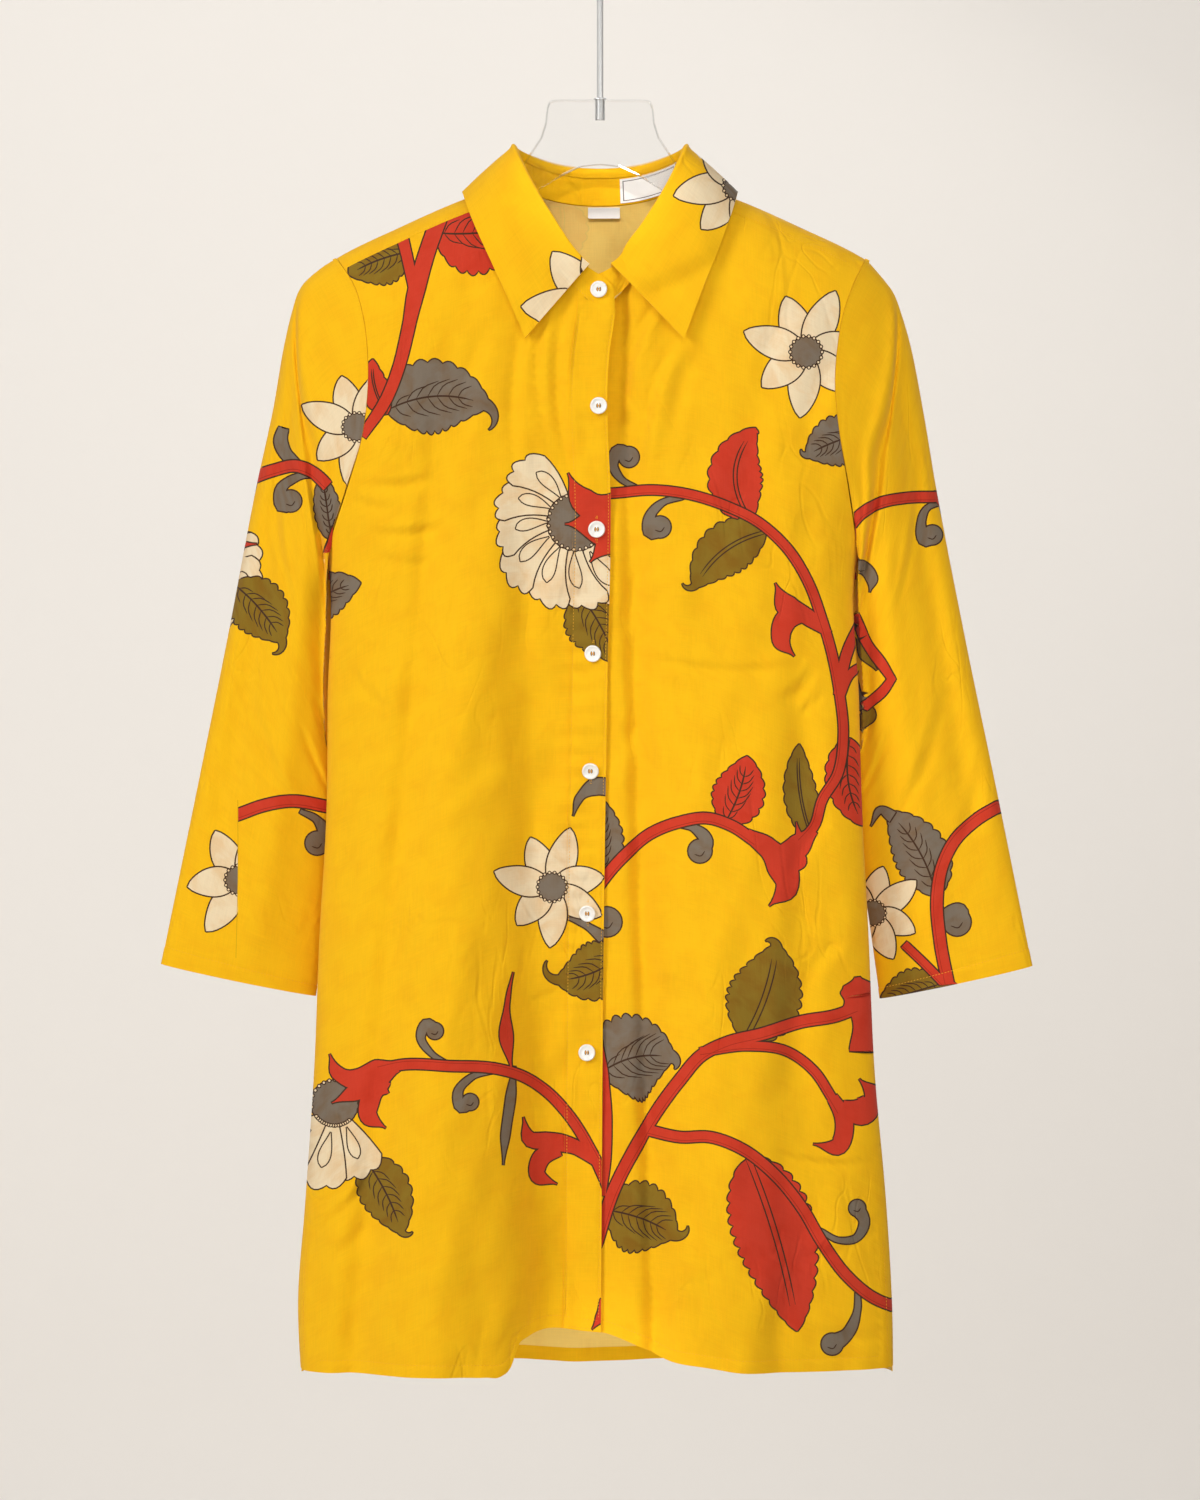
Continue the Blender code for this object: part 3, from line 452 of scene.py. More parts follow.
def arm_drop(turn):
    """Drop of a place on the sleeve's seam. turn is 0 on the shoulder and pi at the armpit."""
    top = ARMHOLE.places[0]
    return top + (PIT - top) * (1 - np.cos(turn)) / 2


def arm_turn(drop):
    top = ARMHOLE.places[0]
    return np.arccos(1 - 2 * (drop - top) / (PIT - top))


def yoke_turns(side):
    """Turns of the neck seam and of the sleeve's seam where the yoke's front seam ends."""
    turns = np.linspace(0.02, math.pi / 2, 400)
    x, drop = neck_ring(side * turns)
    neck = float(np.interp(-YOKE_FRONT, -(drop - ridge(x)), turns))
    drops = np.linspace(ARMHOLE.places[0], PIT, 400)
    corner = float(np.interp(YOKE_FRONT, drops - ridge(armhole(side, drops)), drops))
    return neck, float(arm_turn(corner))


def edge_x(drop):
    """X of the band's free edge."""
    return EDGE.at("x", drop)


def front_start(side, drop):
    """X of a front's own edge. The left front reaches under the whole band."""
    return edge_x(drop) - (BAND_WIDTH if side > 0 else 0)


# ------------------------------------------------------------ places on the cloth
# Each place(a, b) gives points on the middle of a cloth from its flat pattern, in metres.


def torso_place(x, w):
    """The fronts, the back and the yoke share one pattern: across, and over the shoulder."""
    points = profile(x, w)
    drop = SHOULDER_Z - points[:, 2]
    out = np.abs(x) / half_width(x, drop)
    parted = 0.3 * MM + 2.5 * MM * smooth((drop - (BACK_HEM - SLIT)) / SLIT)
    parted = parted * smooth((out - 0.93) / 0.07) * (drop > PIT)
    hems = 0.3 * MM * hem_step(x, w, drop)
    face = np.where(w < 0, -1, 1)
    points[:, 1] += face * (parted + hems)
    return points


def hem_step(x, w, drop):
    """1 on a doubled edge and 0 past its stitches, with a dip at them."""
    width = bpy.context.scene.kurta_cloth.hem
    foot = np.where(w < 0, HEM.at("drop", x), BACK_HEM) - drop
    side = (half_width(x, drop) - np.abs(x)) * 0.6 + 40 * MM * (drop < BACK_HEM - SLIT - 20 * MM)
    off = np.minimum(foot, side + 3 * MM) - width
    step = 1 - smooth(off / (1.2 * MM) + 0.5)
    return step - 0.8 * np.exp(-((off / (1.0 * MM)) ** 2))


def left_front_place(x, w):
    """The left front lies under the band."""
    points = torso_place(x, w)
    drop = SHOULDER_Z - points[:, 2]
    off = x - edge_x(drop)
    fallen = smooth((270 * MM - drop) / (110 * MM)) * np.exp(-(((off - 2 * MM) / (10 * MM)) ** 2))
    points[:, 1] += 1.5 * LAYER * smooth(1 - off / (14 * MM)) + 8 * MM * fallen
    return points


def band_place(x, w):
    """The band lies on the right front, doubled, and dips along its two rows of stitches."""
    points = torso_place(x, w)
    drop = SHOULDER_Z - points[:, 2]
    near = edge_x(drop) - x
    dip = np.exp(-(((near - 1.6 * MM) / (0.9 * MM)) ** 2))
    dip = dip + np.exp(-(((near - BAND_WIDTH + 1.8 * MM) / (0.9 * MM)) ** 2))
    points[:, 1] -= LAYER - 0.35 * MM * dip
    return points


def neck_lines():
    """Turns, x and drop of the stand's foot, from its upper end on the right to the left."""
    rows = np.arange(1, 6) / 5
    tops = [yoke_turns(side)[0] for side in (-1, 1)]
    over = [np.concatenate([t * rows**0.88, np.linspace(t, math.pi / 2, 4)[1:]]) for t in tops]
    behind = np.linspace(math.pi / 2, 1.5 * math.pi, 21)[1:-1]
    turns = np.concatenate([-over[0], -behind, (over[1] - 2 * math.pi)[::-1]])
    x, drop = neck_ring(turns, -0.4 * MM)
    x = np.concatenate([[front_start(-1, NECK_FRONT) - 0.4 * MM], x, [-14 * MM]])
    foot = NECK_FRONT - 0.4 * MM
    drop = np.concatenate([[foot], drop, [foot]])
    return np.concatenate([[0.0], turns, [-2 * math.pi]]), x, drop


def bent(step, values, at):
    """Values along a line, with its corners rounded."""
    return sum(np.interp(at + d, step, values) for d in (-0.012, -0.004, 0.004, 0.012)) / 4


def stand_form(u, v):
    turns, xs, drops = neck_lines()
    step = np.linspace(0, 1, len(turns))
    u = np.clip(u, 0, 1)
    turn = np.interp(u, step, turns)
    edge = smooth(np.minimum(u, 1 - u) / 0.03)
    x, drop = (
        edge * bent(step, line, u) + (1 - edge) * np.interp(u, step, line) for line in (xs, drops)
    )
    y = np.where(np.cos(turn) > 0, depth(x, drop, -1), depth(x, drop, 1))
    under = np.clip(2 - (1 - u) * (len(turns) - 1), 0, 1)  # its lower end
    upper = np.clip(2 - u * (len(turns) - 1), 0, 1)
    lean = STAND_LEAN * v
    inward_x, inward_y = -x / NECK_HALF, -(y + 15 * MM) / (40 * MM)
    size = np.maximum(np.hypot(inward_x, inward_y), 0.3)
    x = x + lean * inward_x / size
    y = y + lean * inward_y / size + 1.6 * MM * under - 0.5 * MM * upper
    height = STAND_BACK + (STAND_FRONT - STAND_BACK) * smooth((1 + 1.6 * np.cos(turn)) / 2)
    z = SHOULDER_Z - drop + height * v + 1.1 * MM * under * (1 - v)
    return np.stack([x, y, z], -1)


def stand_place(a, b):
    """The standing part of the collar: a runs round it and b up it."""
    return stand_form(a / STAND_GIRTH, b / STAND_FRONT)


def leaf_place(a, b):
    """The folded part of the collar: b rises from the stand, turns over and falls."""
    u, v = np.clip(a / LEAF_GIRTH, 0, 1), np.clip(b / LEAF_DEPTH, 0, 1)
    turns = neck_lines()[0]
    columns = len(turns) - 1
    inner = (1 + u * (columns - 2)) / columns
    seam = stand_form(inner, np.full_like(v, 1.0))
    turn = np.interp(inner, np.linspace(0, 1, columns + 1), turns)
    off = np.degrees(np.pi - np.abs(np.mod(turn, 2 * math.pi) - np.pi))
    side = np.where(np.mod(turn, 2 * math.pi) > np.pi, -1, 1)
    off = np.maximum(off, 18)
    right, left = LEAF_EDGE.at("right_out", off * MM), LEAF_EDGE.at("left_out", off * MM)
    edge_out = np.where(side < 0, -right, left)
    edge_w = LEAF_EDGE.at("over", off * MM)
    edge = profile(edge_out, edge_w)
    on_ridge = np.exp(-((edge_w / (45 * MM)) ** 2))
    edge[:, 1] += LEAF_LIFT * np.where(edge_w < 0, -1, 1) * np.sqrt(np.clip(1 - on_ridge, 0, 1))
    edge[:, 2] += LEAF_LIFT * on_ridge
    near = 0.4 / columns
    along = stand_form(inner + near, 1 + 0 * v) - stand_form(inner - near, 1 + 0 * v)
    outward = np.stack([along[:, 1], -along[:, 0], 0 * v], -1)
    outward /= np.maximum(np.linalg.norm(outward, axis=1), 1e-9)[:, None]
    away = np.sum(outward * (seam - np.array([0, -15 * MM, 0])), axis=1)
    outward *= np.where(away < 0, -1, 1)[:, None]
    rise = FOLD_RISE * (0.25 + 0.75 * smooth((off - 18) / 30))
    up = np.array([[0, 0, 1.0]])
    start = seam + up * 0.4 * MM
    top = start + up * rise[:, None] + outward * FOLD_ROUND
    over = start + up * (rise * 0.45)[:, None] + outward * 2 * FOLD_ROUND
    middle = 0.5 * over + 0.5 * edge + outward * 1.5 * MM
    middle[:, 1] += np.where(edge_w < 0, -2.5 * MM, 1.5 * MM)

    def fall(t):
        return (1 - t) ** 2 * over + 2 * t * (1 - t) * middle + t**2 * edge

    knots = [start, start + up * (rise * 0.6)[:, None] - outward * 0.1 * FOLD_ROUND, top, over]
    knots = np.array([2 * knots[0] - knots[1]] + knots + [fall(t) for t in (0.25, 0.5, 0.75)])
    knots = np.concatenate([knots, [edge, 2 * edge - fall(0.75)]])
    row = v * 7
    i = np.clip(np.floor(row).astype(int), 0, 6)
    t, n = (row - i)[:, None], np.arange(len(v))
    p0, p1, p2, p3 = (knots[i + k, n] for k in range(4))
    points = p1 + 0.5 * t * (
        p2 - p0 + t * (2 * p0 - 5 * p1 + 4 * p2 - p3 + t * (3 * (p1 - p2) + p3 - p0))
    )
    x, y, drop = points[:, 0], points[:, 1], SHOULDER_Z - points[:, 2]
    front, rear = depth(x, drop, -1) - LEAF_LIFT, depth(x, drop, 1) + LEAF_LIFT
    clear = np.where(y > 8 * MM, np.maximum(y, rear), y)
    clear = np.where(y < -12 * MM, np.minimum(y, front), clear)
    share = smooth((row - 3.0) / 0.8)
    points[:, 1] = y + (clear - y) * share + creases(LEAF_CREASES, x, drop) * share * (y < 0)
    return points


def armhole_loop(side, turn):
    """Points of the sleeve's own edge. turn is 0 on the shoulder, 90 degrees in front."""
    low = np.abs(np.mod(turn + math.pi, 2 * math.pi) - math.pi)
    drop = np.minimum(arm_drop(low), PIT - 0.1 * MM)
    x = armhole(side, drop)
    y = np.where(turn >= 0, depth(side * x, drop, -1), depth(side * x, drop, 1))
    x = x + 0.2 * MM + 0.8 * MM * smooth((low - 1.7) / 0.5)
    return np.stack([side * x, y, SHOULDER_Z - drop], -1)


def clear_of_body(side, points, margin):
    """Points that would lie inside the torso are moved out to its side."""
    x, y, drop = points[:, 0], points[:, 1], SHOULDER_Z - points[:, 2]
    half = armhole(side, drop) + margin
    away = np.where(y < 0, BODY.at("front", drop), BODY.at("back", drop)) + margin
    place = (np.abs(x) / half) ** SIDE_POWER + (y / away) ** 2
    grow = np.where(place < 1, np.maximum(place, 0.2) ** (-1 / SIDE_POWER), 1)
    grow = 1 + (grow - 1) * (margin > 0)
    return points * np.stack([grow, grow, np.ones_like(grow)], -1)


def sleeve_point(side, turn, along):
    """Points of a sleeve. turn is 0 on its outer line and 90 degrees in front."""
    name = "right" if side < 0 else "left"
    far_x, far_drop = (SLEEVE_OUTER.at(f"{name}_{n}", along) for n in ("x", "drop"))
    near_x, near_drop = (SLEEVE_INNER.at(f"{name}_{n}", along) for n in ("x", "drop"))
    thick = SLEEVE_ROUND.at("depth", along)
    c = SLEEVE_FOLDS.columns
    for k in range(len(c["turn"])):
        away = np.mod(turn - math.radians(c["turn"][k] / MM) + np.pi, 2 * np.pi) - np.pi
        grown = smooth((along - c["start"][k]) / (60 * MM))
        grown = grown * smooth((c["end"][k] - along) / (90 * MM) + 0.25)
        width = math.radians(c["width"][k] / MM)
        thick = thick - c["depth"][k] * grown * np.exp(-((away / width) ** 2))
    degrees = np.mod(np.degrees(turn), 360) * MM
    strength = bpy.context.scene.kurta_cloth.creases
    thick = thick - strength * creases(SLEEVE_CREASES, degrees, along)
    share = (1 + np.cos(turn)) / 2
    x = near_x + (far_x - near_x) * share
    drop = near_drop + (far_drop - near_drop) * share
    y = SLEEVE_ROUND.at("behind", along) - np.sin(turn) * thick
    tube = np.stack([side * x, y, SHOULDER_Z - drop], -1)
    reach = BLEND_LENGTH * (1 - 0.75 * np.cos(turn / 2) ** 2)
    joined = smooth(along / reach)[..., None]
    loose = armhole_loop(side, turn) * (1 - joined) + tube * joined
    return clear_of_body(side, loose, 4 * MM * smooth(along / (12 * MM)))


def sleeve_place(side):
    def place(a, b):
        points = sleeve_point(side, a / SLEEVE_GIRTH, np.clip(b, 0, SLEEVE_LENGTH))
        middle = sleeve_point(side, 0 * a, b) + sleeve_point(side, 0 * a + math.pi, b)
        way = points - middle / 2
        way /= np.maximum(np.linalg.norm(way, axis=1), 1 * MM)[:, None]
        off = SLEEVE_LENGTH - b - bpy.context.scene.kurta_cloth.cuff
        step = 1 - smooth(off / (1.2 * MM) + 0.5) - 0.8 * np.exp(-((off / (1.0 * MM)) ** 2))
        return points + way * (0.3 * MM * step)[:, None]

    return place


def eye(points):
    """Where the points are seen from in front, in drawing units."""
    unit = DRAWN_UNIT * (1 + points[:, 1] / EYE_AWAY)
    across = DRAWN_MIDDLE + points[:, 0] / unit
    return across + 1j * (EYE_ROW + (SHOULDER_Z - points[:, 2] - EYE_DROP) / unit)


def on_torso_print(aim):
    """Where on the torso's pattern a place of the drawing lies, for its front."""
    y = -55 * MM
    for _ in range(5):
        unit = DRAWN_UNIT * (1 + y / EYE_AWAY)
        x = (aim.real - DRAWN_MIDDLE) * unit
        drop = EYE_DROP + (aim.imag - EYE_ROW) * unit
        y = depth(x, drop, -1)
    return x - 1j * profile_place(x, drop)


def seek(place, aim, guess, low, high):
    """Where on a pattern the places of the drawing lie, by stepping towards each."""
    at, h = guess.copy(), 0.2 * MM
    for _ in range(16):
        here = eye(place(at.real, at.imag))
        da = (eye(place(at.real + h, at.imag)) - here) / h
        db = (eye(place(at.real, at.imag + h)) - here) / h
        miss, turn = aim - here, (np.conj(db) * da).imag
        turn = np.where(np.abs(turn) < 2e4, 2e4 * np.where(turn < 0, -1, 1), turn)
        step = (np.conj(db) * miss).imag / turn - 1j * (np.conj(da) * miss).imag / turn
        size = np.maximum(np.abs(step) / (25 * MM), 1)
        at = at + step / size
        at = np.clip(at.real, low.real, high.real) + 1j * np.clip(at.imag, low.imag, high.imag)
    return at


# ------------------------------------------------------------ cutting and laying cloth


def inside(points, outline):
    """Whether points lie in a closed outline, both complex, also where it overlaps itself."""
    a, b = outline[:, None], np.roll(outline, -1)[:, None]
    left = (b - a).real * (points.imag - a.imag) - (points.real - a.real) * (b - a).imag
    up = (a.imag <= points.imag) & (b.imag > points.imag) & (left > 0)
    down = (a.imag > points.imag) & (b.imag <= points.imag) & (left < 0)
    return np.sum(up, axis=0) != np.sum(down, axis=0)


def even(line, step, closed=False):
    """The same line with points no further apart than the step."""
    ends = np.append(line, line[0]) if closed else line
    out = []
    for one, two in zip(ends, ends[1:]):
        out.append(one + (two - one) * np.arange(n := max(1, math.ceil(abs(two - one) / step))) / n)
    return np.concatenate(out if closed else out + [ends[-1:]])


def net(outline, step):
    """Points in staggered rows over an outline's box."""
    rows = np.arange(outline.imag.min() + step / 2, outline.imag.max(), step * 0.88)
    across = np.arange(outline.real.min() + step / 2, outline.real.max() + step / 2, step)
    return np.concatenate([across + step / 2 * (k % 2) + 1j * row for k, row in enumerate(rows)])


def torso_net(outline, step):
    """Points over the torso's pattern, closer where the cloth turns back at the sides."""
    t = np.linspace(-1, 1, 2001)
    turned = np.stack([t * 210, 55 * np.sqrt(1 - np.abs(t) ** SIDE_POWER)])
    length = np.concatenate([[0], np.cumsum(np.hypot(*np.diff(turned)))]) * MM
    marks = np.interp(np.arange(0, length[-1] + step, step / 2), length, t)
    rows = np.arange(outline.imag.min() + step / 2, outline.imag.max(), step * 0.88)
    points = []
    for k, w in enumerate(rows):
        m = marks[k % 2 :: 2]
        x = 0.2 * m
        for _ in range(4):
            x = m * half_width(m, profile_drop(x, 0 * m + w))
        points.append(x + 1j * w)
    return np.concatenate(points)


def cut(outline, shapes, points, lines=()):
    """A flat panel in triangles: its corners, their faces and each face's ink."""
    unit = 1000.0
    low = outline.real.min() + 1j * outline.imag.min()
    high = outline.real.max() + 1j * outline.imag.max()

    def near(shape):
        return (
            shape.real.max() > low.real
            and shape.real.min() < high.real
            and shape.imag.max() > low.imag
            and shape.imag.min() < high.imag
        )

    shapes = [(s, ink) for s, ink in shapes if near(s)]
    corners, edges, total = [], [], 0
    loops = [(outline, True)] + [(s, True) for s, _ in shapes] + [(n, False) for n in lines]
    for loop, closed in loops:
        count = len(loop)
        corners.append(loop)
        edges += [(total + k, total + (k + 1) % count) for k in range(count - (not closed))]
        total += count
    corners.append(points[inside(points, outline)])
    flat = np.concatenate(corners) * unit
    cut_up = delaunay_2d_cdt([Vector((z.real, z.imag)) for z in flat], edges, [], 0, 0.004, False)
    corners = np.array([v[:] for v in cut_up[0]]) @ np.array([1, 1j]) / unit
    faces = np.array(cut_up[2])
    middle = corners[faces].mean(axis=1)
    keep = inside(middle, outline)
    faces, middle = faces[keep], middle[keep]
    ink = np.zeros(len(faces), int)
    for shape, colour in shapes:
        box = (middle.real > shape.real.min()) & (middle.real < shape.real.max())
        box &= (middle.imag > shape.imag.min()) & (middle.imag < shape.imag.max())
        picked = np.flatnonzero(box)
        if len(picked):
            ink[picked[inside(middle[picked], shape)]] = INKS.index(colour)
    used, faces = np.unique(faces, return_inverse=True)
    return corners[used], faces.reshape(-1, 3), ink


INKS = "ground line red grey olive cream shade seam label mark turned".split()


def ink_colours():
    """Red, green, blue and how much the colour wanders, for each ink."""
    cloth, inks = bpy.context.scene.kurta_cloth, bpy.context.scene.kurta_print
    wander = [0.25, 0.3, 0.55, 0.8, 0.8, 0.6, 0.3, 0.2, 0.1, 0.1, 0.25]
    named = [cloth.ground, inks.line, inks.red, inks.grey, inks.olive, inks.cream]
    # The second of these is the seam ink: the ground darkened, as painted shade that stands in for
    # the crease along a sleeve's join.
    named += [[c * 0.55 for c in inks.red], [c * 0.72 for c in cloth.ground]]
    named += [cloth.label, (0.12, 0.1, 0.09), cloth.ground]
    return np.array([[*c, w] for c, w in zip(named, wander)])


def normals(place, at, sign):
    """Unit normals of the form at places of its pattern, on the side that the sign picks."""
    h = 0.4 * MM
    along = place(at.real + h, at.imag) - place(at.real - h, at.imag)
    down = place(at.real, at.imag + h) - place(at.real, at.imag - h)
    across = np.cross(along, down) * sign
    size = np.linalg.norm(across, axis=1)
    return across / np.maximum(size, 1e-12)[:, None]


def right_side(place, spot, way):
    """1 where the normals from a flat pattern face the given way at a place, or else -1."""
    return 1 if normals(place, np.array([spot]), 1)[0] @ np.array(way) > 0 else -1


def lay(name, place, panel, probe, thickness=None, lined=False, finish="printed cotton", node=None):
    """Lays a cut panel on its form as a closed wall of cloth. The probe is a place on it and
    the way that its right side faces there."""
    at, faces, ink = panel
    sign = right_side(place, *probe)
    first = at[faces]
    turned = (np.conj(first[:, 1] - first[:, 0]) * (first[:, 2] - first[:, 0])).imag * sign < 0
    faces = np.where(turned[:, None], faces[:, ::-1], faces)
    middle, out = place(at.real, at.imag), normals(place, at, sign)
    half = (thickness or bpy.context.scene.kurta_cloth.thickness) / 2
    count = len(at)
    verts = np.concatenate([middle + out * half, middle - out * half])

    directed = np.concatenate([faces[:, [0, 1]], faces[:, [1, 2]], faces[:, [2, 0]]])
    codes = directed[:, 0] * count + directed[:, 1]
    rim = directed[~np.isin(codes, directed[:, 1] * count + directed[:, 0])]
    quads = np.stack([rim[:, 1], rim[:, 0], rim[:, 0] + count, rim[:, 1] + count], -1)
    inner = faces[:, ::-1] + count
    mesh = bpy.data.meshes.new(name)
    mesh.from_pydata(verts.tolist(), [], faces.tolist() + inner.tolist() + quads.tolist())

    low = at.real.min(), at.imag.min()
    size = at.real.max() - low[0], at.imag.max() - low[1]
    flat = np.stack([(at.real - low[0]) / size[0] * 0.495, (at.imag - low[1]) / size[1]], -1)
    both = np.concatenate([flat, flat + [0.505, 0]])
    rim_flat = flat[quads % count] + np.array([[[0, 0], [0, 0], [0.002, 0.001], [0.002, 0.001]]])
    uv = np.concatenate([both[faces.ravel()], both[inner.ravel()], rim_flat.reshape(-1, 2)])
    mesh.uv_layers.new(name="OFBake").data.foreach_set("uv", np.clip(uv, 0, 1).ravel())
    real = np.stack([at.real, at.imag], -1)
    corners = np.concatenate([faces.ravel(), inner.ravel(), quads.ravel()])
    real = np.concatenate([real, real])[corners]
    mesh.uv_layers.new(name="Cloth").data.foreach_set("uv", real.ravel())

    colours = ink_colours()
    # The wrong side's colour is partly the cloth's real paler back and partly painted light: it is
    # made lighter to stand in for light that shines through the thin cotton onto the inside.
    wrong = colours[0] * 0 + np.array([*bpy.context.scene.kurta_cloth.wrong_side_with_painted_light, 0.2])
    right = colours[ink]
    back = right if lined else 0.12 * right + 0.88 * wrong
    back = np.where((ink == INKS.index("turned"))[:, None], right, back)
    rims = np.tile(right[0] * 0 + colours[0], (len(quads) * 4, 1))
    if finish != "printed cotton":
        back, rims = right, np.tile(colours[INKS.index("label")], (len(quads) * 4, 1))
    loops = np.concatenate([np.repeat(right, 3, 0), np.repeat(back, 3, 0), rims])
    dye = mesh.color_attributes.new("Dye", "FLOAT_COLOR", "CORNER")
    dye.data.foreach_set("color", loops.ravel().astype(np.float32))

    mesh.materials.append(bpy.data.materials[finish])
    mesh.shade_smooth()
    corner, along, across = (verts[quads[:, k]] for k in (0, 1, 3))
    flat_rim = np.cross(along - corner, across - corner)
    flat_rim /= np.maximum(np.linalg.norm(flat_rim, axis=1), 1e-12)[:, None]
    behind = -out[faces[:, ::-1].ravel()]
    shading = np.concatenate([out[faces.ravel()], behind, np.repeat(flat_rim, 4, 0)])
    mesh.normals_split_custom_set(shading.tolist())
    return add(name, mesh, finish.replace(" ", "_"), node or name)


def add(name, mesh, slot, *nodes):
    """Links a finished piece, which rides on the root and stands for CAD nodes."""
    made = bpy.data.objects.new(name, mesh)
    bpy.context.scene.collection.objects.link(made)
    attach(made, "root")
    if nodes and nodes[0]:
        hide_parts(*nodes)
    return made


def sew(name, runs, slot="printed_cotton", material="cotton thread"):
    """Rows of stitches. Each run is a place, a flat line, a sign of its right side and a lift."""
    trim = bpy.context.scene.kurta_trim
    ball = bmesh.new()
    bmesh.ops.create_icosphere(ball, subdivisions=1, radius=1)
    unit = np.array([v.co[:] for v in ball.verts])
    corners = np.array([[v.index for v in f.verts] for f in ball.faces])
    ball.free()
    verts, faces, count = [], [], 0
    for place, line, sign, lift in runs:
        points = place(line.real, line.imag)
        length = np.concatenate([[0], np.cumsum(np.linalg.norm(np.diff(points, axis=0), axis=1))])
        marks = np.arange(trim.stitch / 2, length[-1], trim.stitch)
        if not len(marks):
            continue
        at = np.interp(marks, length, line.real) + 1j * np.interp(marks, length, line.imag)
        fore = np.interp(marks + 0.3 * MM, length, line.real) + 1j * np.interp(
            marks + 0.3 * MM, length, line.imag
        )
        out = normals(place, at, sign)
        spot = place(at.real, at.imag)
        way = place(fore.real, fore.imag) - spot
        way /= np.maximum(np.linalg.norm(way, axis=1), 1e-9)[:, None]
        side = np.cross(out, way)
        axes = [way * trim.stitch * 0.36, side * trim.thread, out * trim.thread * 0.7]
        made = np.einsum("vk,nkc->nvc", unit, np.stack(axes, 1)) + (spot + out * lift)[:, None]
        verts.append(made.reshape(-1, 3))
        start = count + len(unit) * np.arange(len(at))
        faces.append((corners[None] + start[:, None, None]).reshape(-1, 3))
        count += len(unit) * len(at)
    mesh = bpy.data.meshes.new(name)
    mesh.from_pydata(np.concatenate(verts).tolist(), [], np.concatenate(faces).tolist())
    mesh.materials.append(bpy.data.materials[material])
    mesh.shade_smooth()
    return add(name, mesh, slot)


# ------------------------------------------------------------ finishes


class Nodes:
    """A material's nodes, added from left to right."""

    def __init__(self, name, roughness=0.5, **values):
        self.material = bpy.data.materials.new(name)
        self.material.use_nodes = True
        self.tree = self.material.node_tree
        self.shader = self.tree.nodes["Principled BSDF"]
        self.shader.inputs["Roughness"].default_value = roughness
        for socket, value in values.items():
            self.shader.inputs[socket.replace("_", " ")].default_value = value

    def add(self, kind, settings=None, **inputs):
        node = self.tree.nodes.new("ShaderNode" + kind)
        for key, value in (settings or {}).items():
            setattr(node, key, value)
        for key, value in inputs.items():
            socket = node.inputs[int(key[1:]) if key[0] == "n" and key[1:].isdigit() else key]
            if isinstance(value, bpy.types.NodeSocket):
                self.tree.links.new(value, socket)
            else:
                socket.default_value = value
        return node

    def noise(self, place, scale, detail, **values):
        return self.add("TexNoise", Vector=place, Scale=scale, Detail=detail,
            **values).outputs["Fac"]

    def ramp(self, value, smooth=False, **ends):
        settings = {"interpolation_type": "SMOOTHSTEP" if smooth else "LINEAR"}
        node = self.add("MapRange", settings, Value=value)
        for end, place in ends.items():
            node.inputs[end.replace("_", " ")].default_value = place
        return node.outputs[0]

    def grey(self, value):
        return self.add("CombineColor", n0=value, n1=value, n2=value).outputs[0]

    def math(self, operation, one, two=0.0):
        return self.add("Math", {"operation": operation}, n0=one, n1=two).outputs[0]

    def mix(self, blend, share, one, two):
        node = self.add("Mix", {"data_type": "RGBA", "blend_type": blend}, n0=share, n6=one, n7=two)
        return node.outputs[2]

    def set(self, socket, value):
        self.tree.links.new(value, self.shader.inputs[socket])


def cotton_finish():
    """Plain-woven cotton: its dye, the wander of the printed inks, slubs and the weave."""
    made = Nodes("printed cotton", 0.86, Sheen_Weight=0.05, Sheen_Roughness=0.5)
    made.shader.inputs["Specular IOR Level"].default_value = 0.14
    dye = made.add("Attribute", {"attribute_name": "Dye"})
    place = made.add("UVMap", {"uv_map": "Cloth"}).outputs[0]
    wash = made.noise(place, 58.0, 4.0, Roughness=0.55, Distortion=0.6)
    share = made.ramp(wash, From_Min=0.42, From_Max=0.68)
    amount = made.math("MULTIPLY", share, dye.outputs["Alpha"])
    worn = made.mix("MULTIPLY", 1.0, dye.outputs["Color"], (0.9, 0.7, 0.5, 1.0))
    colour = made.mix("MIX", amount, dye.outputs["Color"], worn)
    threads = []
    for stretch in ((1500.0, 55.0, 1.0), (55.0, 1500.0, 1.0)):
        laid = made.add("Mapping", Vector=place, Scale=stretch).outputs[0]
        threads.append(made.noise(laid, 1.0, 2.0))
    slubs = made.math("ADD", *threads)
    shade = made.ramp(slubs, From_Min=0.7, From_Max=1.3, To_Min=0.955, To_Max=1.03)
    made.set("Base Color", made.mix("MULTIPLY", 1.0, colour, made.grey(shade)))
    cloudy = made.math("MULTIPLY", made.noise(place, 32.0, 3.0), 1.0)
    height = made.math("ADD", made.math("MULTIPLY", slubs, 0.08), cloudy)
    worn_here = made.ramp(made.noise(place, 9.0, 1.0), True, From_Min=0.46, From_Max=0.62)
    for turn, scale in ((0.5, 13.0), (-0.9, 19.0), (1.4, 28.0)):
        laid = made.add("Mapping", Vector=place, Rotation=(0.0, 0.0, turn), Scale=(1.0, 0.45, 1.0))
        way = made.noise(laid.outputs[0], scale, 1.5, Distortion=0.9)
        off = made.math("ABSOLUTE", made.math("SUBTRACT", way, 0.5))
        wrinkle = made.ramp(off, True, From_Max=0.05)
        deep = made.math("MULTIPLY", worn_here, 0.45)
        height = made.math("ADD", height, made.math("MULTIPLY", wrinkle, deep))
    bump = made.add("Bump", Strength=0.5, Distance=0.0016, Height=height)
    made.set("Normal", bump.outputs[0])
    return made.material


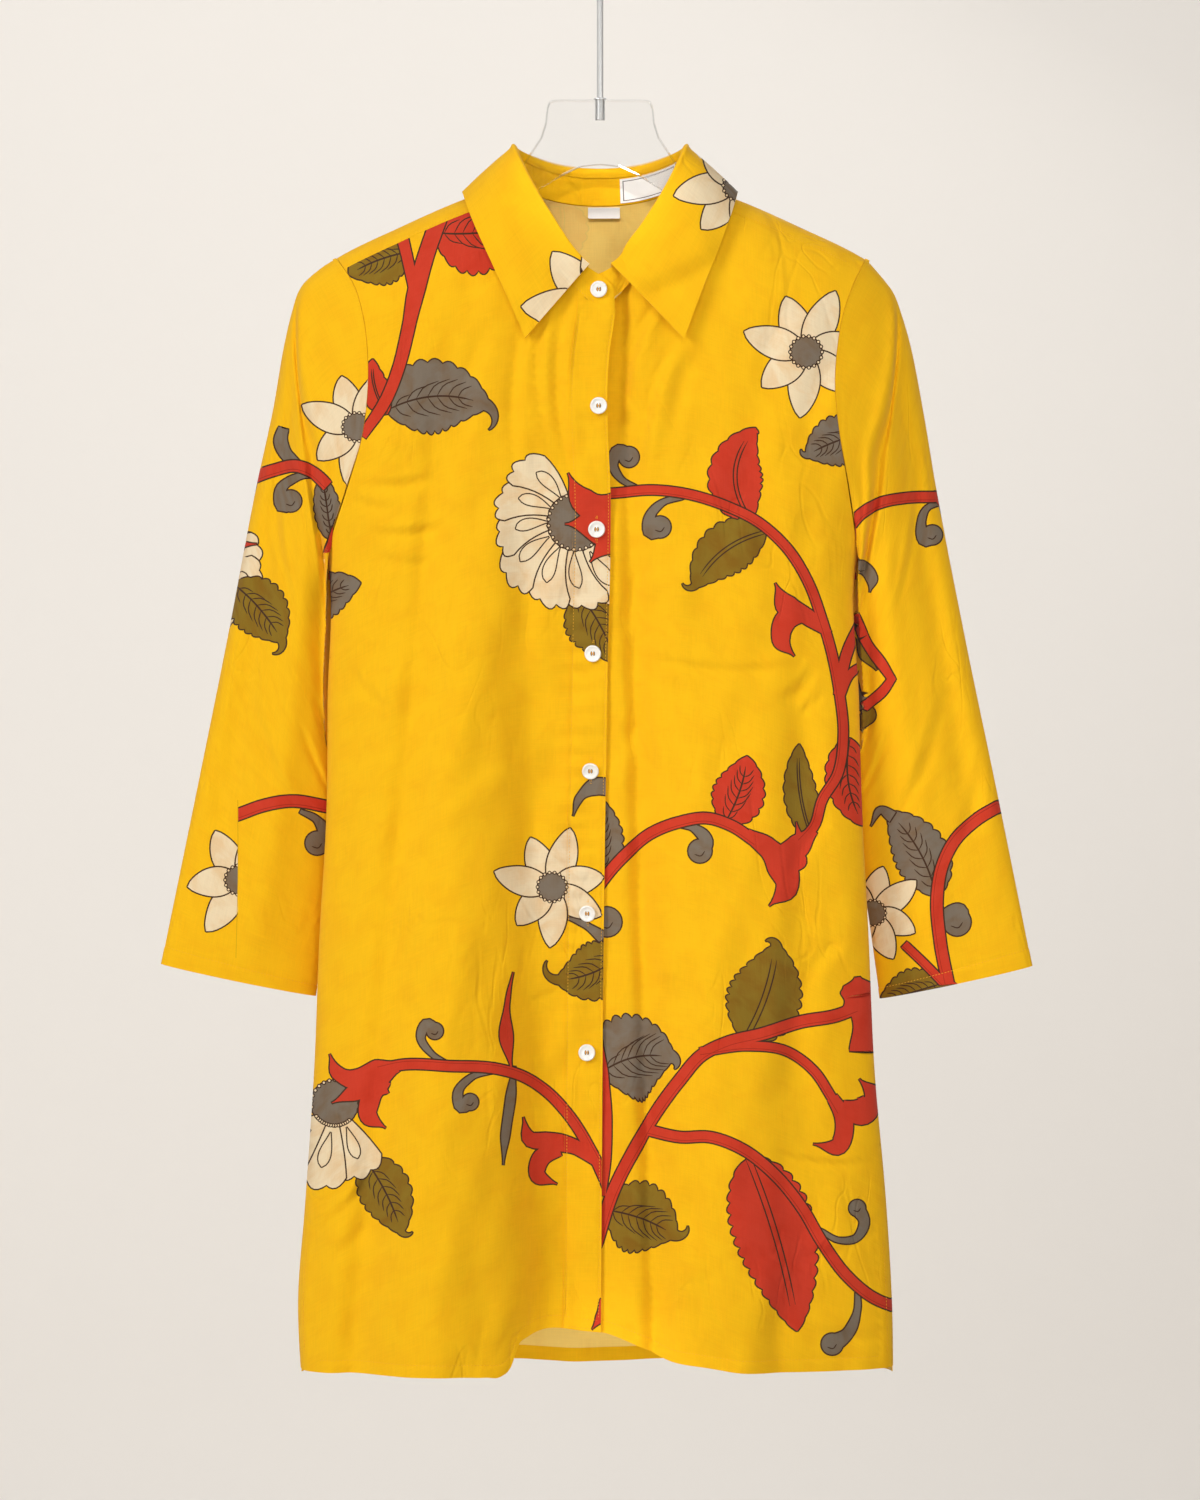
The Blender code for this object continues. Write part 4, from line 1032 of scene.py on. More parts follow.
def label_finish():
    """Smooth ribbed satin."""
    made = Nodes("label satin", 0.55, Sheen_Weight=0.2)
    dye = made.add("Attribute", {"attribute_name": "Dye"})
    place = made.add("UVMap", {"uv_map": "Cloth"}).outputs[0]
    ribs = made.add("TexWave", {"bands_direction": "Y"}, Vector=place, Scale=700.0, Distortion=0.4)
    tone = made.grey(made.ramp(ribs.outputs["Fac"], To_Min=0.94))
    made.set("Base Color", made.mix("MULTIPLY", 1.0, dye.outputs["Color"], tone))
    bump = made.add("Bump", Strength=0.3, Distance=0.0001, Height=ribs.outputs["Fac"])
    made.set("Normal", bump.outputs[0])
    return made.material


def plain_finish(name, colour, scale, spread, roughness, **values):
    """A colour that wanders a little in tone and gloss over the piece."""
    made = Nodes(name, roughness, **values)
    place = made.add("TexCoord").outputs["Object"]
    noise = made.noise(place, scale, 4.0)
    low, high = [tuple(min(1, c * f) for c in colour) + (1.0,) for f in (1 - spread, 1 + spread)]
    made.set("Base Color", made.mix("MIX", noise, low, high))
    made.set("Roughness", made.ramp(noise, To_Min=roughness * 0.75, To_Max=roughness * 1.25))
    return made.material


# ------------------------------------------------------------ drawing the print
# A drawing is in complex numbers, across + 1j * down, in drawn units.

LINE_WIDTH = 1.1


def run(points, count=24):
    """A smooth line through the points."""
    points = np.array(points, complex)
    place = np.concatenate([[0], np.cumsum(np.abs(np.diff(points)))])
    slope = np.gradient(points, place)
    at = np.linspace(0, place[-1], count)
    i = np.clip(np.searchsorted(place, at) - 1, 0, len(place) - 2)
    step = place[i + 1] - place[i]
    t = (at - place[i]) / step
    start = (1 + 2 * t) * (1 - t) ** 2 * points[i] + t * (1 - t) ** 2 * step * slope[i]
    end = t * t * (3 - 2 * t) * points[i + 1] - t * t * (1 - t) * step * slope[i + 1]
    return start + end


def spiral(root, heading, length, sweep, count=22, tighten=1.2):
    """A line that sets out on its heading and turns by the sweep, both in degrees."""
    t = np.linspace(0, 1, count)
    way = np.exp(1j * np.radians(heading + sweep * t**tighten))
    steps = (way[1:] + way[:-1]) / 2 * np.diff(t) * length
    return root + np.concatenate([[0], np.cumsum(steps)])


def strip(line, half):
    """The outline of a strip along a line."""
    way = np.gradient(line)
    off = 1j * way / np.abs(way) * half
    return np.concatenate([line + off, (line - off)[::-1]])


def taper(points, halves, count=22):
    """The outline of a strip through the points, with its half width at each."""
    line = run(points, count)
    at = np.linspace(0, len(halves) - 1, count)
    low = np.minimum(at.astype(int), len(halves) - 2)
    t = at - low
    t = t * t * (3 - 2 * t)
    halves = np.array(halves, float)
    return strip(line, halves[low] * (1 - t) + halves[low + 1] * t)


def grown(outline, by):
    """The outline moved outwards."""
    way = np.roll(outline, -1) - np.roll(outline, 1)
    way = way / np.maximum(np.abs(way), 1e-6)
    area = np.sum((np.conj(outline) * np.roll(outline, -1)).imag)
    return outline - 1j * way * by * np.sign(area)


class Print:
    """Outlined shapes in the order in which they are laid on the cloth."""

    def __init__(self):
        self.shapes = []  # (outline, ink)
        self.vines, self.shades = [], []

    def block(self, outlines, ink, line=LINE_WIDTH):
        """Shapes that merge into one, inside one line."""
        self.shapes += [(grown(o, line), "line") for o in outlines]
        self.shapes += [(grown(o, -line * 0.35), ink) for o in outlines]

    def line(self, points, half=0.75, taper=0.35):
        t = np.linspace(0, 1, len(points))
        self.shapes.append((strip(points, half * np.maximum(1 - (2 * t - 1) ** 8, taper)), "line"))

    def stem(self, points, half=5.2):
        line = run(points, max(8, 7 * len(points)))
        self.vines.append(strip(line, half))
        way = np.gradient(line)
        inner = line + 1j * way / np.abs(way) * half * 0.55
        self.shades.append((strip(inner, 0.3 + 0 * half), "shade"))

    def horns(self, ink, *strokes):
        """Tapered strokes that merge into one shape: (points, half widths) each."""
        outlines = [taper(*stroke) for stroke in strokes]
        if ink == "red":
            self.vines += outlines
        else:
            self.block(outlines, ink)

    def knit(self):
        """Draws all stems and buds as one shape, over what was drawn before."""
        self.block(self.vines, "red")
        self.shapes += self.shades
        self.vines, self.shades = [], []
        return self

    def leaf(self, root, tip, bend, width, ink, lobes=9, veins="feather", tail=0.0, full=0.82):
        """A scalloped leaf. Its rib bends to the right by a share of its length."""
        count = lobes * 6 + 1
        t = np.linspace(0, 1, count)
        way = tip - root
        rib = root + way * t + 1j * way * bend * 4 * t * (1 - t)
        body = np.sin(np.pi * t**full) ** 0.72
        body = np.maximum(body * (0.92 + 0.11 * np.abs(np.sin(np.pi * lobes * t))), 0.02)
        shapes = [strip(rib, width / 2 * body)]
        if tail:
            heading = np.degrees(np.angle(rib[-1] - rib[-8]))
            line = spiral(rib[-4], heading, abs(tail), 130 * np.sign(tail), 12)
            shapes.append(strip(line, np.linspace(0.09 * width, 0.4, 12)))
        self.block(shapes, ink)
        rib = rib[: int(count * 0.86)]
        if veins == "double":
            self.line(rib + 0.035 * width * 1j * way / abs(way), 0.7)
            self.line(rib - 0.035 * width * 1j * way / abs(way), 0.7)
            return
        self.line(rib, 0.9)
        for k in range(7):
            at = int(count * (0.1 + 0.1 * k))
            for hand in (-1, 1):
                reach = width * 0.4 * body[at] * (1 - 0.06 * k)
                turned = way / abs(way) * np.exp(1j * hand * 0.95)
                mid = rib[at] + turned * reach * 0.55
                end = rib[at] + (turned + 0.55 * way / abs(way)) * reach * 0.85
                self.line(run([rib[at], mid, end], 6), 0.6)

    def curl(self, points, head, ink="grey"):
        """A stalk that swells and ends in a round head."""
        count = len(points)
        halves = 2.2 + (head * 0.8 - 2.2) * np.linspace(0, 1, count) ** 1.6
        ring = points[-1] + head * np.exp(1j * np.linspace(0, 2 * np.pi, 25)[:-1])
        self.block([taper(points, halves), ring], ink)
        self.line(run([points[-1] + 0.45 * head * w for w in (-1 + 0.6j, 0.2 + 0.9j, 0.9)], 8), 0.6)

    def beads(self, centre, radius, first, last, count, size):
        for angle in np.radians(np.linspace(first, last, count)):
            spot = centre + radius * np.exp(1j * angle)
            ring = np.exp(1j * np.linspace(0, 2 * np.pi, 9)[:-1])
            self.shapes.append((spot + size * ring, "line"))
            self.shapes.append((spot + size * 0.5 * ring, "cream"))

    def disc(self, centre, radius, ink="grey", lobes=0):
        angle = np.linspace(0, 2 * np.pi, 49)[:-1]
        edge = radius * (1 + (0.06 * np.abs(np.sin(angle * lobes / 2)) if lobes else 0))
        self.block([centre + edge * np.exp(1j * angle)], ink)

    def flower(self, centre, radius, turn=0.0, petals=7, lean=12):
        """A star of pointed petals round a beaded centre."""
        t = np.linspace(0, 1, 16)
        full = np.sin(np.pi * t**0.92) ** 0.66 * (1 - 0.1 * t)
        for k in range(petals):
            angle = turn + 360 / petals * k
            long = radius * (1 - 0.09 * math.cos(2.3 * k + 1))
            line = spiral(centre, angle - lean / 2, long, lean * (-1) ** k, 16)
            self.block([strip(line, radius * 0.268 * np.maximum(full, 0.02))], "cream")
        self.disc(centre, radius * 0.24, "grey", 16)
        self.beads(centre, radius * 0.255, 0, 340, 18, radius * 0.036)

    def fan(self, centre, radius, first, last, petals=5, core=0.3, lean=-16, grow=0.0):
        """A fan of lobed tongues, from one angle to the other, round a grey heart."""
        spread = (last - first) / petals
        t = np.linspace(0, 1, 12)
        for k in range(petals):
            middle = first + spread * (k + 0.5)
            reach = radius * (1 + grow * (k - (petals - 1) / 2) + 0.05 * math.cos(2.1 * k + 0.5))
            across = np.linspace(-1, 1, 19)
            lobes = 1 - 0.1 * across**2 + 0.06 * np.abs(np.sin(np.pi * 1.5 * (across + 1)))
            up = np.linspace(0.18, 0.88, 9)
            side = 0.56 * spread * (0.94 + 0.14 * up)

            def bent(out, off):
                way = np.radians(middle + off + lean * out * out)
                return centre + reach * out * np.exp(1j * way)

            tip = bent(lobes * 0.97, 0.6 * spread * across)
            outline = [bent(up, -side), tip, bent(up, side)[::-1]]
            self.block([np.concatenate(outline)], "cream")
            loop = bent(0.34 + 0.42 * t, 0.05 * spread * np.sin(2.4 * t))
            wide = reach * 0.07 * np.maximum(np.sin(np.pi * t**1.7) ** 0.6, 0.03)
            self.block([strip(loop, wide)], "cream", 0.95)
        self.disc(centre, radius * core, "grey", 22)
        self.beads(centre, radius * core, first + 4, last - 4, 16, radius * 0.026)
def right_front_print():
    p = Print()
    p.leaf(410 + 252j, 349 + 275j, 0.05, 52, "olive", 8)
    p.leaf(436 + 233j, 524 + 224j, 0.05, 82, "red", 9)
    p.leaf(386 + 411j, 489 + 406j, -0.12, 74, "grey", 9, "feather", 34)
    p.leaf(388 + 414j, 373 + 359j, -0.1, 28, "red", 6, "double")
    p.leaf(300 + 618j, 361 + 583j, -0.1, 44, "grey", 7)
    p.leaf(576 + 590j, 616 + 662j, -0.05, 66, "olive", 9)
    p.fan(576 + 522j, 86, 52, 254, 7, 0.32, grow=-0.025)
    p.horns("grey", ([616 + 788j, 594 + 787j, 580 + 797j, 573 + 816j], [8.5, 8.5, 4, 0.5]))
    p.horns("grey", ([562 + 916j, 584 + 924j, 604 + 938j], [1, 3.2, 6]))
    p.leaf(626 + 950j, 556 + 980j, -0.1, 58, "olive", 9, "feather", 30)
    p.flower(552 + 887j, 57, -113)
    p.horns("grey", ([514 + 1066j, 510 + 1100j, 505 + 1136j, 503 + 1165j], [1.5, 5, 4.6, 0.6]))
    p.curl([448 + 1064j, 432 + 1054j, 421 + 1036j, 427 + 1024j, 435 + 1031j], 8.5)
    p.curl([498 + 1070j, 470 + 1078j, 458 + 1092j, 461 + 1107j, 470 + 1102j], 8.5)
    p.leaf(364 + 1158j, 402 + 1234j, -0.05, 52, "olive", 8, "feather", -16)
    p.fan(335 + 1103j, 90, 46, 148, 3, 0.25, 6, grow=0.17)
    p.beads(335 + 1103j, 23, 170, 300, 10, 2.4)
    p.horns(
        "red",
        ([401 + 232j, 407 + 256j, 414 + 290j], [6, 5.5, 5]),
        (
            [442 + 212j, 428 + 250j, 416 + 292j, 407 + 335j, 398 + 370j, 386 + 400j, 362 + 436j],
            [8, 8, 8.5, 6.5, 6, 6, 5],
        ),
    )
    p.horns(
        "red",
        ([650 + 512j, 610 + 516j, 580 + 497j, 568 + 473j], [30, 27, 13, 0.6]),
        ([640 + 525j, 604 + 524j, 565 + 524j], [32, 22, 0.6]),
        ([650 + 530j, 612 + 540j, 590 + 562j], [30, 16, 0.6]),
    )
    p.horns("red", ([513 + 972j, 509 + 990j, 506 + 1036j, 511 + 1068j], [0.6, 2.4, 7, 1]))
    p.horns(
        "red",
        ([600 + 1165j, 576 + 1147j, 548 + 1141j, 530 + 1139j, 523 + 1117j], [4, 7, 9, 8, 0.6]),
        ([560 + 1150j, 541 + 1158j, 537 + 1174j, 557 + 1184j], [6, 9, 8, 0.6]),
    )
    p.horns(
        "red",
        ([398 + 1066j, 370 + 1076j, 350 + 1079j, 338 + 1073j, 330 + 1054j], [6, 14, 10, 7, 0.6]),
        ([384 + 1080j, 360 + 1090j, 332 + 1103j], [14, 9, 0.6]),
        ([378 + 1078j, 370 + 1100j, 368 + 1114j, 386 + 1128j], [14, 10, 9, 0.6]),
    )
    p.horns("red", ([606 + 1300j, 601 + 1316j, 592 + 1329j], [6, 5, 0.5]))
    p.stem(
        [
            612 + 1196j, 592 + 1152j, 568 + 1114j, 546 + 1091j, 522 + 1076j, 498 + 1069j,
            450 + 1066j, 400 + 1065j, 378 + 1070j,
        ],
        5.4,
    )
    return p.knit()


def left_front_print():
    p = Print()
    p.leaf(604 + 872j, 600 + 798j, 0, 42, "grey", 8)
    p.leaf(751 + 520j, 756 + 428j, -0.2, 54, "red", 9, "double", 8)
    p.leaf(766 + 532j, 694 + 588j, 0.12, 52, "olive", 9, "double", 18)
    p.leaf(724 + 824j, 747 + 756j, 0.06, 52, "red", 8)
    p.leaf(812 + 838j, 799 + 744j, -0.06, 33, "olive", 8, "double")
    p.leaf(744 + 1040j, 776 + 944j, 0.06, 74, "olive", 11, "double", -16)
    p.leaf(600 + 1074j, 674 + 1058j, -0.12, 88, "grey", 11, "feather", 16)
    p.leaf(606 + 1210j, 676 + 1236j, -0.06, 72, "olive", 9, "feather", -22)
    p.leaf(748 + 1158j, 797 + 1331j, -0.03, 82, "red", 15, "double", full=0.74)
    p.leaf(850 + 738j, 864 + 826j, 0.1, 44, "red", 8)
    p.curl([638 + 488j, 621 + 479j, 613 + 464j, 618 + 451j, 629 + 457j], 10.5)
    p.curl([684 + 497j, 662 + 503j, 650 + 517j, 651 + 532j, 660 + 527j], 11)
    p.curl([672 + 824j, 694 + 828j, 706 + 841j, 700 + 851j], 12)
    p.curl([560 + 915j, 590 + 922j, 607 + 922j], 15)
    p.curl([820 + 1230j, 838 + 1240j, 856 + 1238j, 864 + 1221j, 857 + 1208j], 8.5)
    p.curl([857 + 1286j, 857 + 1311j, 846 + 1335j, 832 + 1344j], 11)
    p.stem(
        [
            580 + 494j, 614 + 493j, 652 + 490j, 692 + 495j, 726 + 506j, 758 + 522j, 786 + 547j,
            808 + 582j, 822 + 620j, 832 + 655j, 839 + 692j, 843 + 735j, 837 + 775j, 822 + 800j,
            814 + 826j, 800 + 842j,
        ],
        5,
    )
    p.stem(
        [
            590 + 900j, 602 + 882j, 622 + 858j, 650 + 834j, 680 + 822j, 706 + 818j, 732 + 826j,
            756 + 842j,
        ],
        5.6,
    )
    p.stem(
        [
            596 + 1246j, 614 + 1190j, 634 + 1150j, 656 + 1113j, 680 + 1080j, 702 + 1055j,
            726 + 1043j, 762 + 1034j, 800 + 1022j, 838 + 1015j, 856 + 1008j,
        ],
        6.2,
    )
    p.stem(
        [
            648 + 1130j, 680 + 1137j, 710 + 1137j, 742 + 1149j, 776 + 1176j, 802 + 1208j,
            822 + 1242j, 846 + 1275j, 872 + 1297j, 906 + 1310j,
        ],
        5.6,
    )
    p.horns(
        "red",
        ([602 + 1040j, 605 + 1070j, 607 + 1112j, 606 + 1160j, 602 + 1196j], [0.6, 3.4, 5, 5, 4]),
    )
    p.horns(
        "red",
        ([838 + 695j, 846 + 655j, 862 + 616j], [5, 5.5, 4]),
        ([840 + 697j, 850 + 674j, 864 + 664j], [4, 4.5, 4]),
    )
    p.horns(
        "red",
        ([829 + 634j, 806 + 616j, 787 + 606j, 775 + 583j], [4, 8, 11, 0.6]),
        ([806 + 614j, 786 + 620j, 781 + 640j, 794 + 656j], [7, 11, 9, 0.8]),
    )
    p.horns(
        "red",
        ([746 + 834j, 768 + 848j, 782 + 866j, 787 + 886j, 769 + 906j], [6, 10, 15, 11, 0.6]),
        ([814 + 830j, 796 + 848j, 780 + 862j], [5, 12, 14]),
        ([801 + 846j, 796 + 822j], [6, 0.6]),
        ([780 + 855j, 798 + 861j, 788 + 874j], [8, 9, 2]),
    )
    p.horns(
        "red",
        ([846 + 1012j, 853 + 1006j, 857 + 996j, 858 + 986j, 857 + 977j], [6, 12, 17, 15, 3]),
        ([858 + 996j, 863 + 1026j, 862 + 1052j], [13, 10, 13]),
    )
    p.stem([700 + 1052j, 748 + 1046j, 786 + 1051j, 814 + 1071j, 830 + 1095j, 840 + 1112j], 4.8)
    p.horns(
        "red",
        ([832 + 1097j, 844 + 1120j, 838 + 1146j, 813 + 1144j], [6, 9, 9, 0.6]),
        ([842 + 1108j, 862 + 1111j, 873 + 1097j, 859 + 1079j], [8, 14, 9, 0.6]),
    )
    p.knit()
    p.leaf(864 + 434j, 806 + 456j, 0.05, 50, "grey", 8, "feather", 12)
    p.flower(806 + 352j, 62, -110, lean=6)
    return p


SLEEVE_JOIN = 238  # the line where two widths of cloth are joined


def right_sleeve_print():
    p = Print()
    p.flower(357 + 427j, 56, -106)
    p.horns("grey", ([303 + 465j, 287 + 455j, 281 + 440j, 284 + 428j], [2, 6, 7, 5.5]))
    p.curl([324 + 475j, 298 + 477j, 281 + 490j, 283 + 505j, 291 + 501j], 11)
    p.leaf(332 + 540j, 322 + 474j, 0, 27, "grey", 7)
    p.stem([248 + 480j, 275 + 470j, 296 + 466j, 314 + 473j, 328 + 486j], 6)
    p.horns(
        "red",
        ([327 + 552j, 336 + 530j, 345 + 510j, 350 + 488j], [3, 4.5, 4, 1]),
        ([330 + 550j, 337 + 538j, 345 + 530j], [2, 6, 0.6]),
    )
    p.fan(206 + 572j, 58, -62, 64, 3, 0.3, 6)
    p.horns("red", ([226 + 545j, 257 + 544j], [8, 0.6]))
    p.leaf(234 + 584j, 283 + 642j, -0.05, 56, "olive", 9, "feather", 22)
    p.knit()
    p.curl([300 + 811j, 317 + 820j, 324 + 834j, 317 + 843j], 12)
    p.stem([205 + 826j, 240 + 814j, 262 + 806j, 290 + 801j, 330 + 807j], 6)
    p.knit()
    right = [(part(o, SLEEVE_JOIN, 1), ink) for o, ink in p.shapes if o.imag.min() > 700]
    p.shapes = [s for s in p.shapes if s[0].imag.min() <= 700] + right
    half = Print()
    half.flower(240 + 880j, 58, -116, 6)
    p.shapes += [(part(o, SLEEVE_JOIN, -1), ink) for o, ink in half.shapes]
    # A darker line along the join: painted shade that stands in for the seam's crease.
    p.shapes.append((strip(run([238 + 800j, 238 + 880j, 236 + 958j], 20), 0.35), "seam"))
    return p


def left_sleeve_print():
    p = Print()
    p.horns("grey", ([848 + 566j, 864 + 568j, 872 + 579j, 870 + 592j], [5, 6.5, 6, 0.6]))
    p.curl([943 + 502j, 927 + 508j, 921 + 524j, 925 + 540j, 932 + 535j], 10)
    p.stem([846 + 532j, 862 + 513j, 880 + 503j, 905 + 498j, 946 + 497j], 5.4)
    p.horns(
        "olive",
        ([858 + 636j, 866 + 655j, 877 + 670j], [2, 6, 0.8]),
        ([860 + 704j, 868 + 712j, 861 + 730j], [3, 8, 0.8]),
    )
    p.horns("grey", ([853 + 668j, 856 + 690j, 862 + 708j], [2, 4.5, 5]))
    p.horns(
        "red",
        ([855 + 614j, 868 + 645j, 882 + 664j, 893 + 681j], [4, 5, 5.4, 4]),
        ([893 + 677j, 884 + 690j, 864 + 707j], [4, 5, 5]),
    )
    p.leaf(936 + 896j, 888 + 812j, 0.08, 54, "grey", 10)
    p.horns("grey", ([893 + 817j, 881 + 810j, 871 + 826j], [6, 3.6, 0.6]))
    p.curl([936 + 928j, 945 + 913j, 960 + 911j, 957 + 922j], 14)
    p.leaf(940 + 984j, 880 + 1002j, 0.0, 46, "olive", 8)
    p.stem([904 + 944j, 925 + 964j, 952 + 992j], 4.4)
    p.stem([1006 + 802j, 976 + 820j, 955 + 840j, 942 + 866j, 937 + 897j, 940 + 940j, 950 + 992j], 6)
    p.knit().flower(873 + 913j, 50, -77)
    return p


def part(outline, edge, side):
    """What of an outline lies on one side of an upright line."""
    kept = []
    for a, b in zip(outline, np.roll(outline, -1)):
        inner, next_inner = (a.real - edge) * side >= 0, (b.real - edge) * side >= 0
        if inner:
            kept.append(a)
        if inner != next_inner:
            kept.append(a + (b - a) * (edge - a.real) / (b.real - a.real))
    return np.array(kept if len(kept) > 2 else [0, 1, 1j], complex)


def moved(drawing, shift):
    """The same print further along the cloth."""
    return [(outline + shift, ink) for outline, ink in drawing.shapes]


def whole_print():
    p = Print()
    p.shapes = right_front_print().shapes + left_front_print().shapes
    return p


def back_print():
    """The width of cloth that the back is cut from starts at another place of the repeat."""
    p = Print()
    p.shapes = moved(whole_print(), -26 + 118j)
    p.leaf(330 + 470j, 372 + 396j, 0.1, 60, "olive", 9)
    p.stem([286 + 560j, 310 + 510j, 356 + 484j, 420 + 486j, 470 + 520j], 5)
    p.flower(700 + 380j, 62, -70)
    p.curl([470 + 520j, 492 + 530j, 500 + 548j, 488 + 556j], 11)
    p.leaf(470 + 350j, 560 + 400j, -0.1, 60, "grey", 9, "feather", 20)
    p.curl([560 + 1310j, 540 + 1290j, 546 + 1270j, 558 + 1274j], 10)
    return p.knit()


def yoke_print():
    p = Print()
    p.stem([404 + 134j, 386 + 158j, 350 + 190j, 296 + 204j], 6)
    p.flower(700 + 270j, 46, -100)
    p.stem([560 + 170j, 590 + 200j, 640 + 214j, 700 + 206j, 770 + 176j], 5)
    p.leaf(640 + 214j, 656 + 300j, 0.1, 52, "red", 9, "double")
    p.leaf(720 + 204j, 800 + 262j, -0.1, 56, "olive", 9)
    p.curl([356 + 262j, 380 + 246j, 402 + 250j, 400 + 262j], 11)
    return p.knit()


def sleeve_back_print():
    p = Print()
    p.flower(96 + 246j, 62, -90)
    p.stem([8 + 88j, 50 + 118j, 110 + 124j, 186 + 96j], 5)
    p.leaf(90 + 122j, 104 + 190j, 0.1, 46, "grey", 8)
    p.stem([6 + 470j, 60 + 430j, 120 + 420j, 188 + 450j], 5)
    p.leaf(80 + 424j, 50 + 350j, 0.1, 50, "olive", 9, "double")
    p.curl([120 + 420j, 142 + 400j, 140 + 380j, 128 + 384j], 10)
    p.horns(
        "red",
        ([100 + 560j, 90 + 600j, 60 + 610j, 46 + 590j], [4, 9, 9, 0.6]),
        ([88 + 596j, 100 + 620j, 120 + 622j], [8, 8, 0.6]),
    )
    return p.knit()


def right_leaf_print():
    p = Print()
    p.flower(597 + 304j, 72, -130)
    return p


def left_leaf_print():
    p = Print()
    p.flower(738 + 186j, 60, 131)
    return p


def on_back_print(aim):
    """The back's drawing lies flat on its pattern, as seen from behind."""
    down = (aim.imag - 184) * DRAWN_UNIT + 30 * MM
    return -(aim.real - DRAWN_MIDDLE) * DRAWN_UNIT + 1j * down


def on_sleeve_print(side):
    def find(aim):
        place = sleeve_place(side)
        limit = math.pi * SLEEVE_GIRTH
        guess = limit / 2 + 1j * np.clip((aim.imag - 260) * 0.78 * MM, 0, SLEEVE_LENGTH)
        return seek(place, aim, guess, 0.02 * limit + 0j, 0.98 * limit + 1j * SLEEVE_LENGTH)

    return find


def on_sleeve_back(aim):
    return (-aim.real + 1j * aim.imag) * DRAWN_UNIT


def on_leaf_print(side):
    def find(aim):
        near = 0.12 if side < 0 else 0.88
        guess = near * LEAF_GIRTH + 1j * LEAF_DEPTH * 0.75 + 0 * aim
        ends = (0.3 * MM, 0.4 * LEAF_GIRTH) if side < 0 else (0.6 * LEAF_GIRTH, LEAF_GIRTH - 2 * MM)
        low, high = ends[0] + 0.4j * LEAF_DEPTH, ends[1] + 0.999j * LEAF_DEPTH
        at = seek(leaf_place, aim, guess, low, high)
        return at - np.where(at.real < 0.5 * MM, 2 * MM, 0)

    return find


TUNIC_MIDDLE = (0, 0, -0.62)
# Name, place, aim, size, share of the power, and the cone in degrees, 0 for a panel light
LIGHTS = (
    ("main light", (-4.4, -3.6, 1.6), TUNIC_MIDDLE, 1.8, 2.15, 0),
    ("front light", (0.2, -3.5, -1.0), TUNIC_MIDDLE, 1.0, 0.22, 0),
    ("upper light", (0.0, -3.2, 1.6), TUNIC_MIDDLE, 1.8, 0.36, 0),
    ("wall light", (1.6, -0.9, 1.7), TUNIC_MIDDLE, 1.6, 0.15, 0),
    ("right light", (3.0, -2.6, 0.4), TUNIC_MIDDLE, 1.6, 0.12, 0),
    ("upper wall light", (-1.3, 1.5, 2.0), (0, 5.4, -0.6), 1.6, 0.75, 0),
    ("right wall light", (1.4, 1.5, 1.0), (0.2, 5.4, -1.2), 1.6, 0.25, 0),
    ("lower wall light", (-1.2, 1.4, -1.9), (0, 5.4, -0.9), 1.6, 0.22, 0),
    ("back light", (1.2, 4.6, 1.9), TUNIC_MIDDLE, 1.4, 0.5, 0),
    ("sleeve light", (1.6, -3.0, -0.1), (0.29, 0, -0.6), 0.3, 0.9, 17),
    ("neck light", (0, -1.0, 0.42), (0, 0.03, -0.23), 0.02, 0.34, 7.2),
    ("hem light", (0.1, -1.5, -1.75), (0, 0.04, -1.075), 0.02, 0.4, 7),
)


# ------------------------------------------------------------ patterns

GAP = 0.1 * MM  # between two pieces that are sewn edge to edge
NET = 4.4 * MM
BUTTON_RADIUS, BUTTON_HEIGHT = 6.3 * MM, 2.6 * MM
FRONT_FOOT = 860 * MM  # a drop near the foot of the front opening


def on_front(x, drop):
    return x - 1j * profile_place(x, drop)


def on_back(x, drop):
    return x + 1j * profile_place(x, drop)


def neck_edge(side):
    """X and drop of a front's edge under the stand's foot, from the opening outwards."""
    _, x, drop = neck_lines()
    x, drop = (x[:6], drop[:6]) if side < 0 else (x[:-7:-1], drop[:-7:-1])
    step, columns = np.linspace(0, 5, 60), np.arange(6)
    tucked = 2.2 * MM * (1 - smooth(step / 3))
    return np.interp(step, columns, x), np.interp(step, columns, drop) + 0.3 * MM + GAP - tucked


def front_outline(side):
    """Hem to neck, round it, along the yoke, down the armhole and the side, and back."""
    corner = yoke_turns(side)
    x0 = float(front_start(side, FRONT_FOOT))
    drop = np.linspace(float(HEM.at("drop", x0)), NECK_FRONT + GAP, 200)
    centre = on_front(front_start(side, drop), drop)
    neck = on_front(*neck_edge(side))
    drop = arm_drop(np.linspace(corner[1], math.pi, 60))
    arm = on_front(side * (armhole(side, drop) - GAP), drop)
    shoulder = np.linspace(neck[-1], arm[0], 40)[1:-1]
    down = np.linspace(PIT, float(HEM.at("drop", side * 220 * MM)), 200)[1:]
    flank = on_front(side * armhole(side, down), down)
    x = np.linspace(flank[-1].real, x0, 160)[1:-1]
    return np.concatenate([centre, neck, shoulder, arm, flank, on_front(x, HEM.at("drop", x))])


def band_outline():
    x = edge_x(FRONT_FOOT) - BAND_WIDTH * np.linspace(0, 1, 12)
    foot = on_front(x, HEM.at("drop", x) - 0.3 * MM)
    across, low = neck_edge(-1)
    top_x = edge_x(90 * MM) - BAND_WIDTH * np.linspace(1, 0, 14)
    top = np.interp(-top_x, -across, low)
    drop = np.linspace(float(HEM.at("drop", x[-1])), top[0], 200)[1:-1]
    inner = on_front(edge_x(drop) - BAND_WIDTH, drop)
    drop = np.linspace(top[-1], float(HEM.at("drop", x[0])), 200)[1:-1]
    return np.concatenate([foot, inner, on_front(top_x, top), on_front(edge_x(drop), drop)])


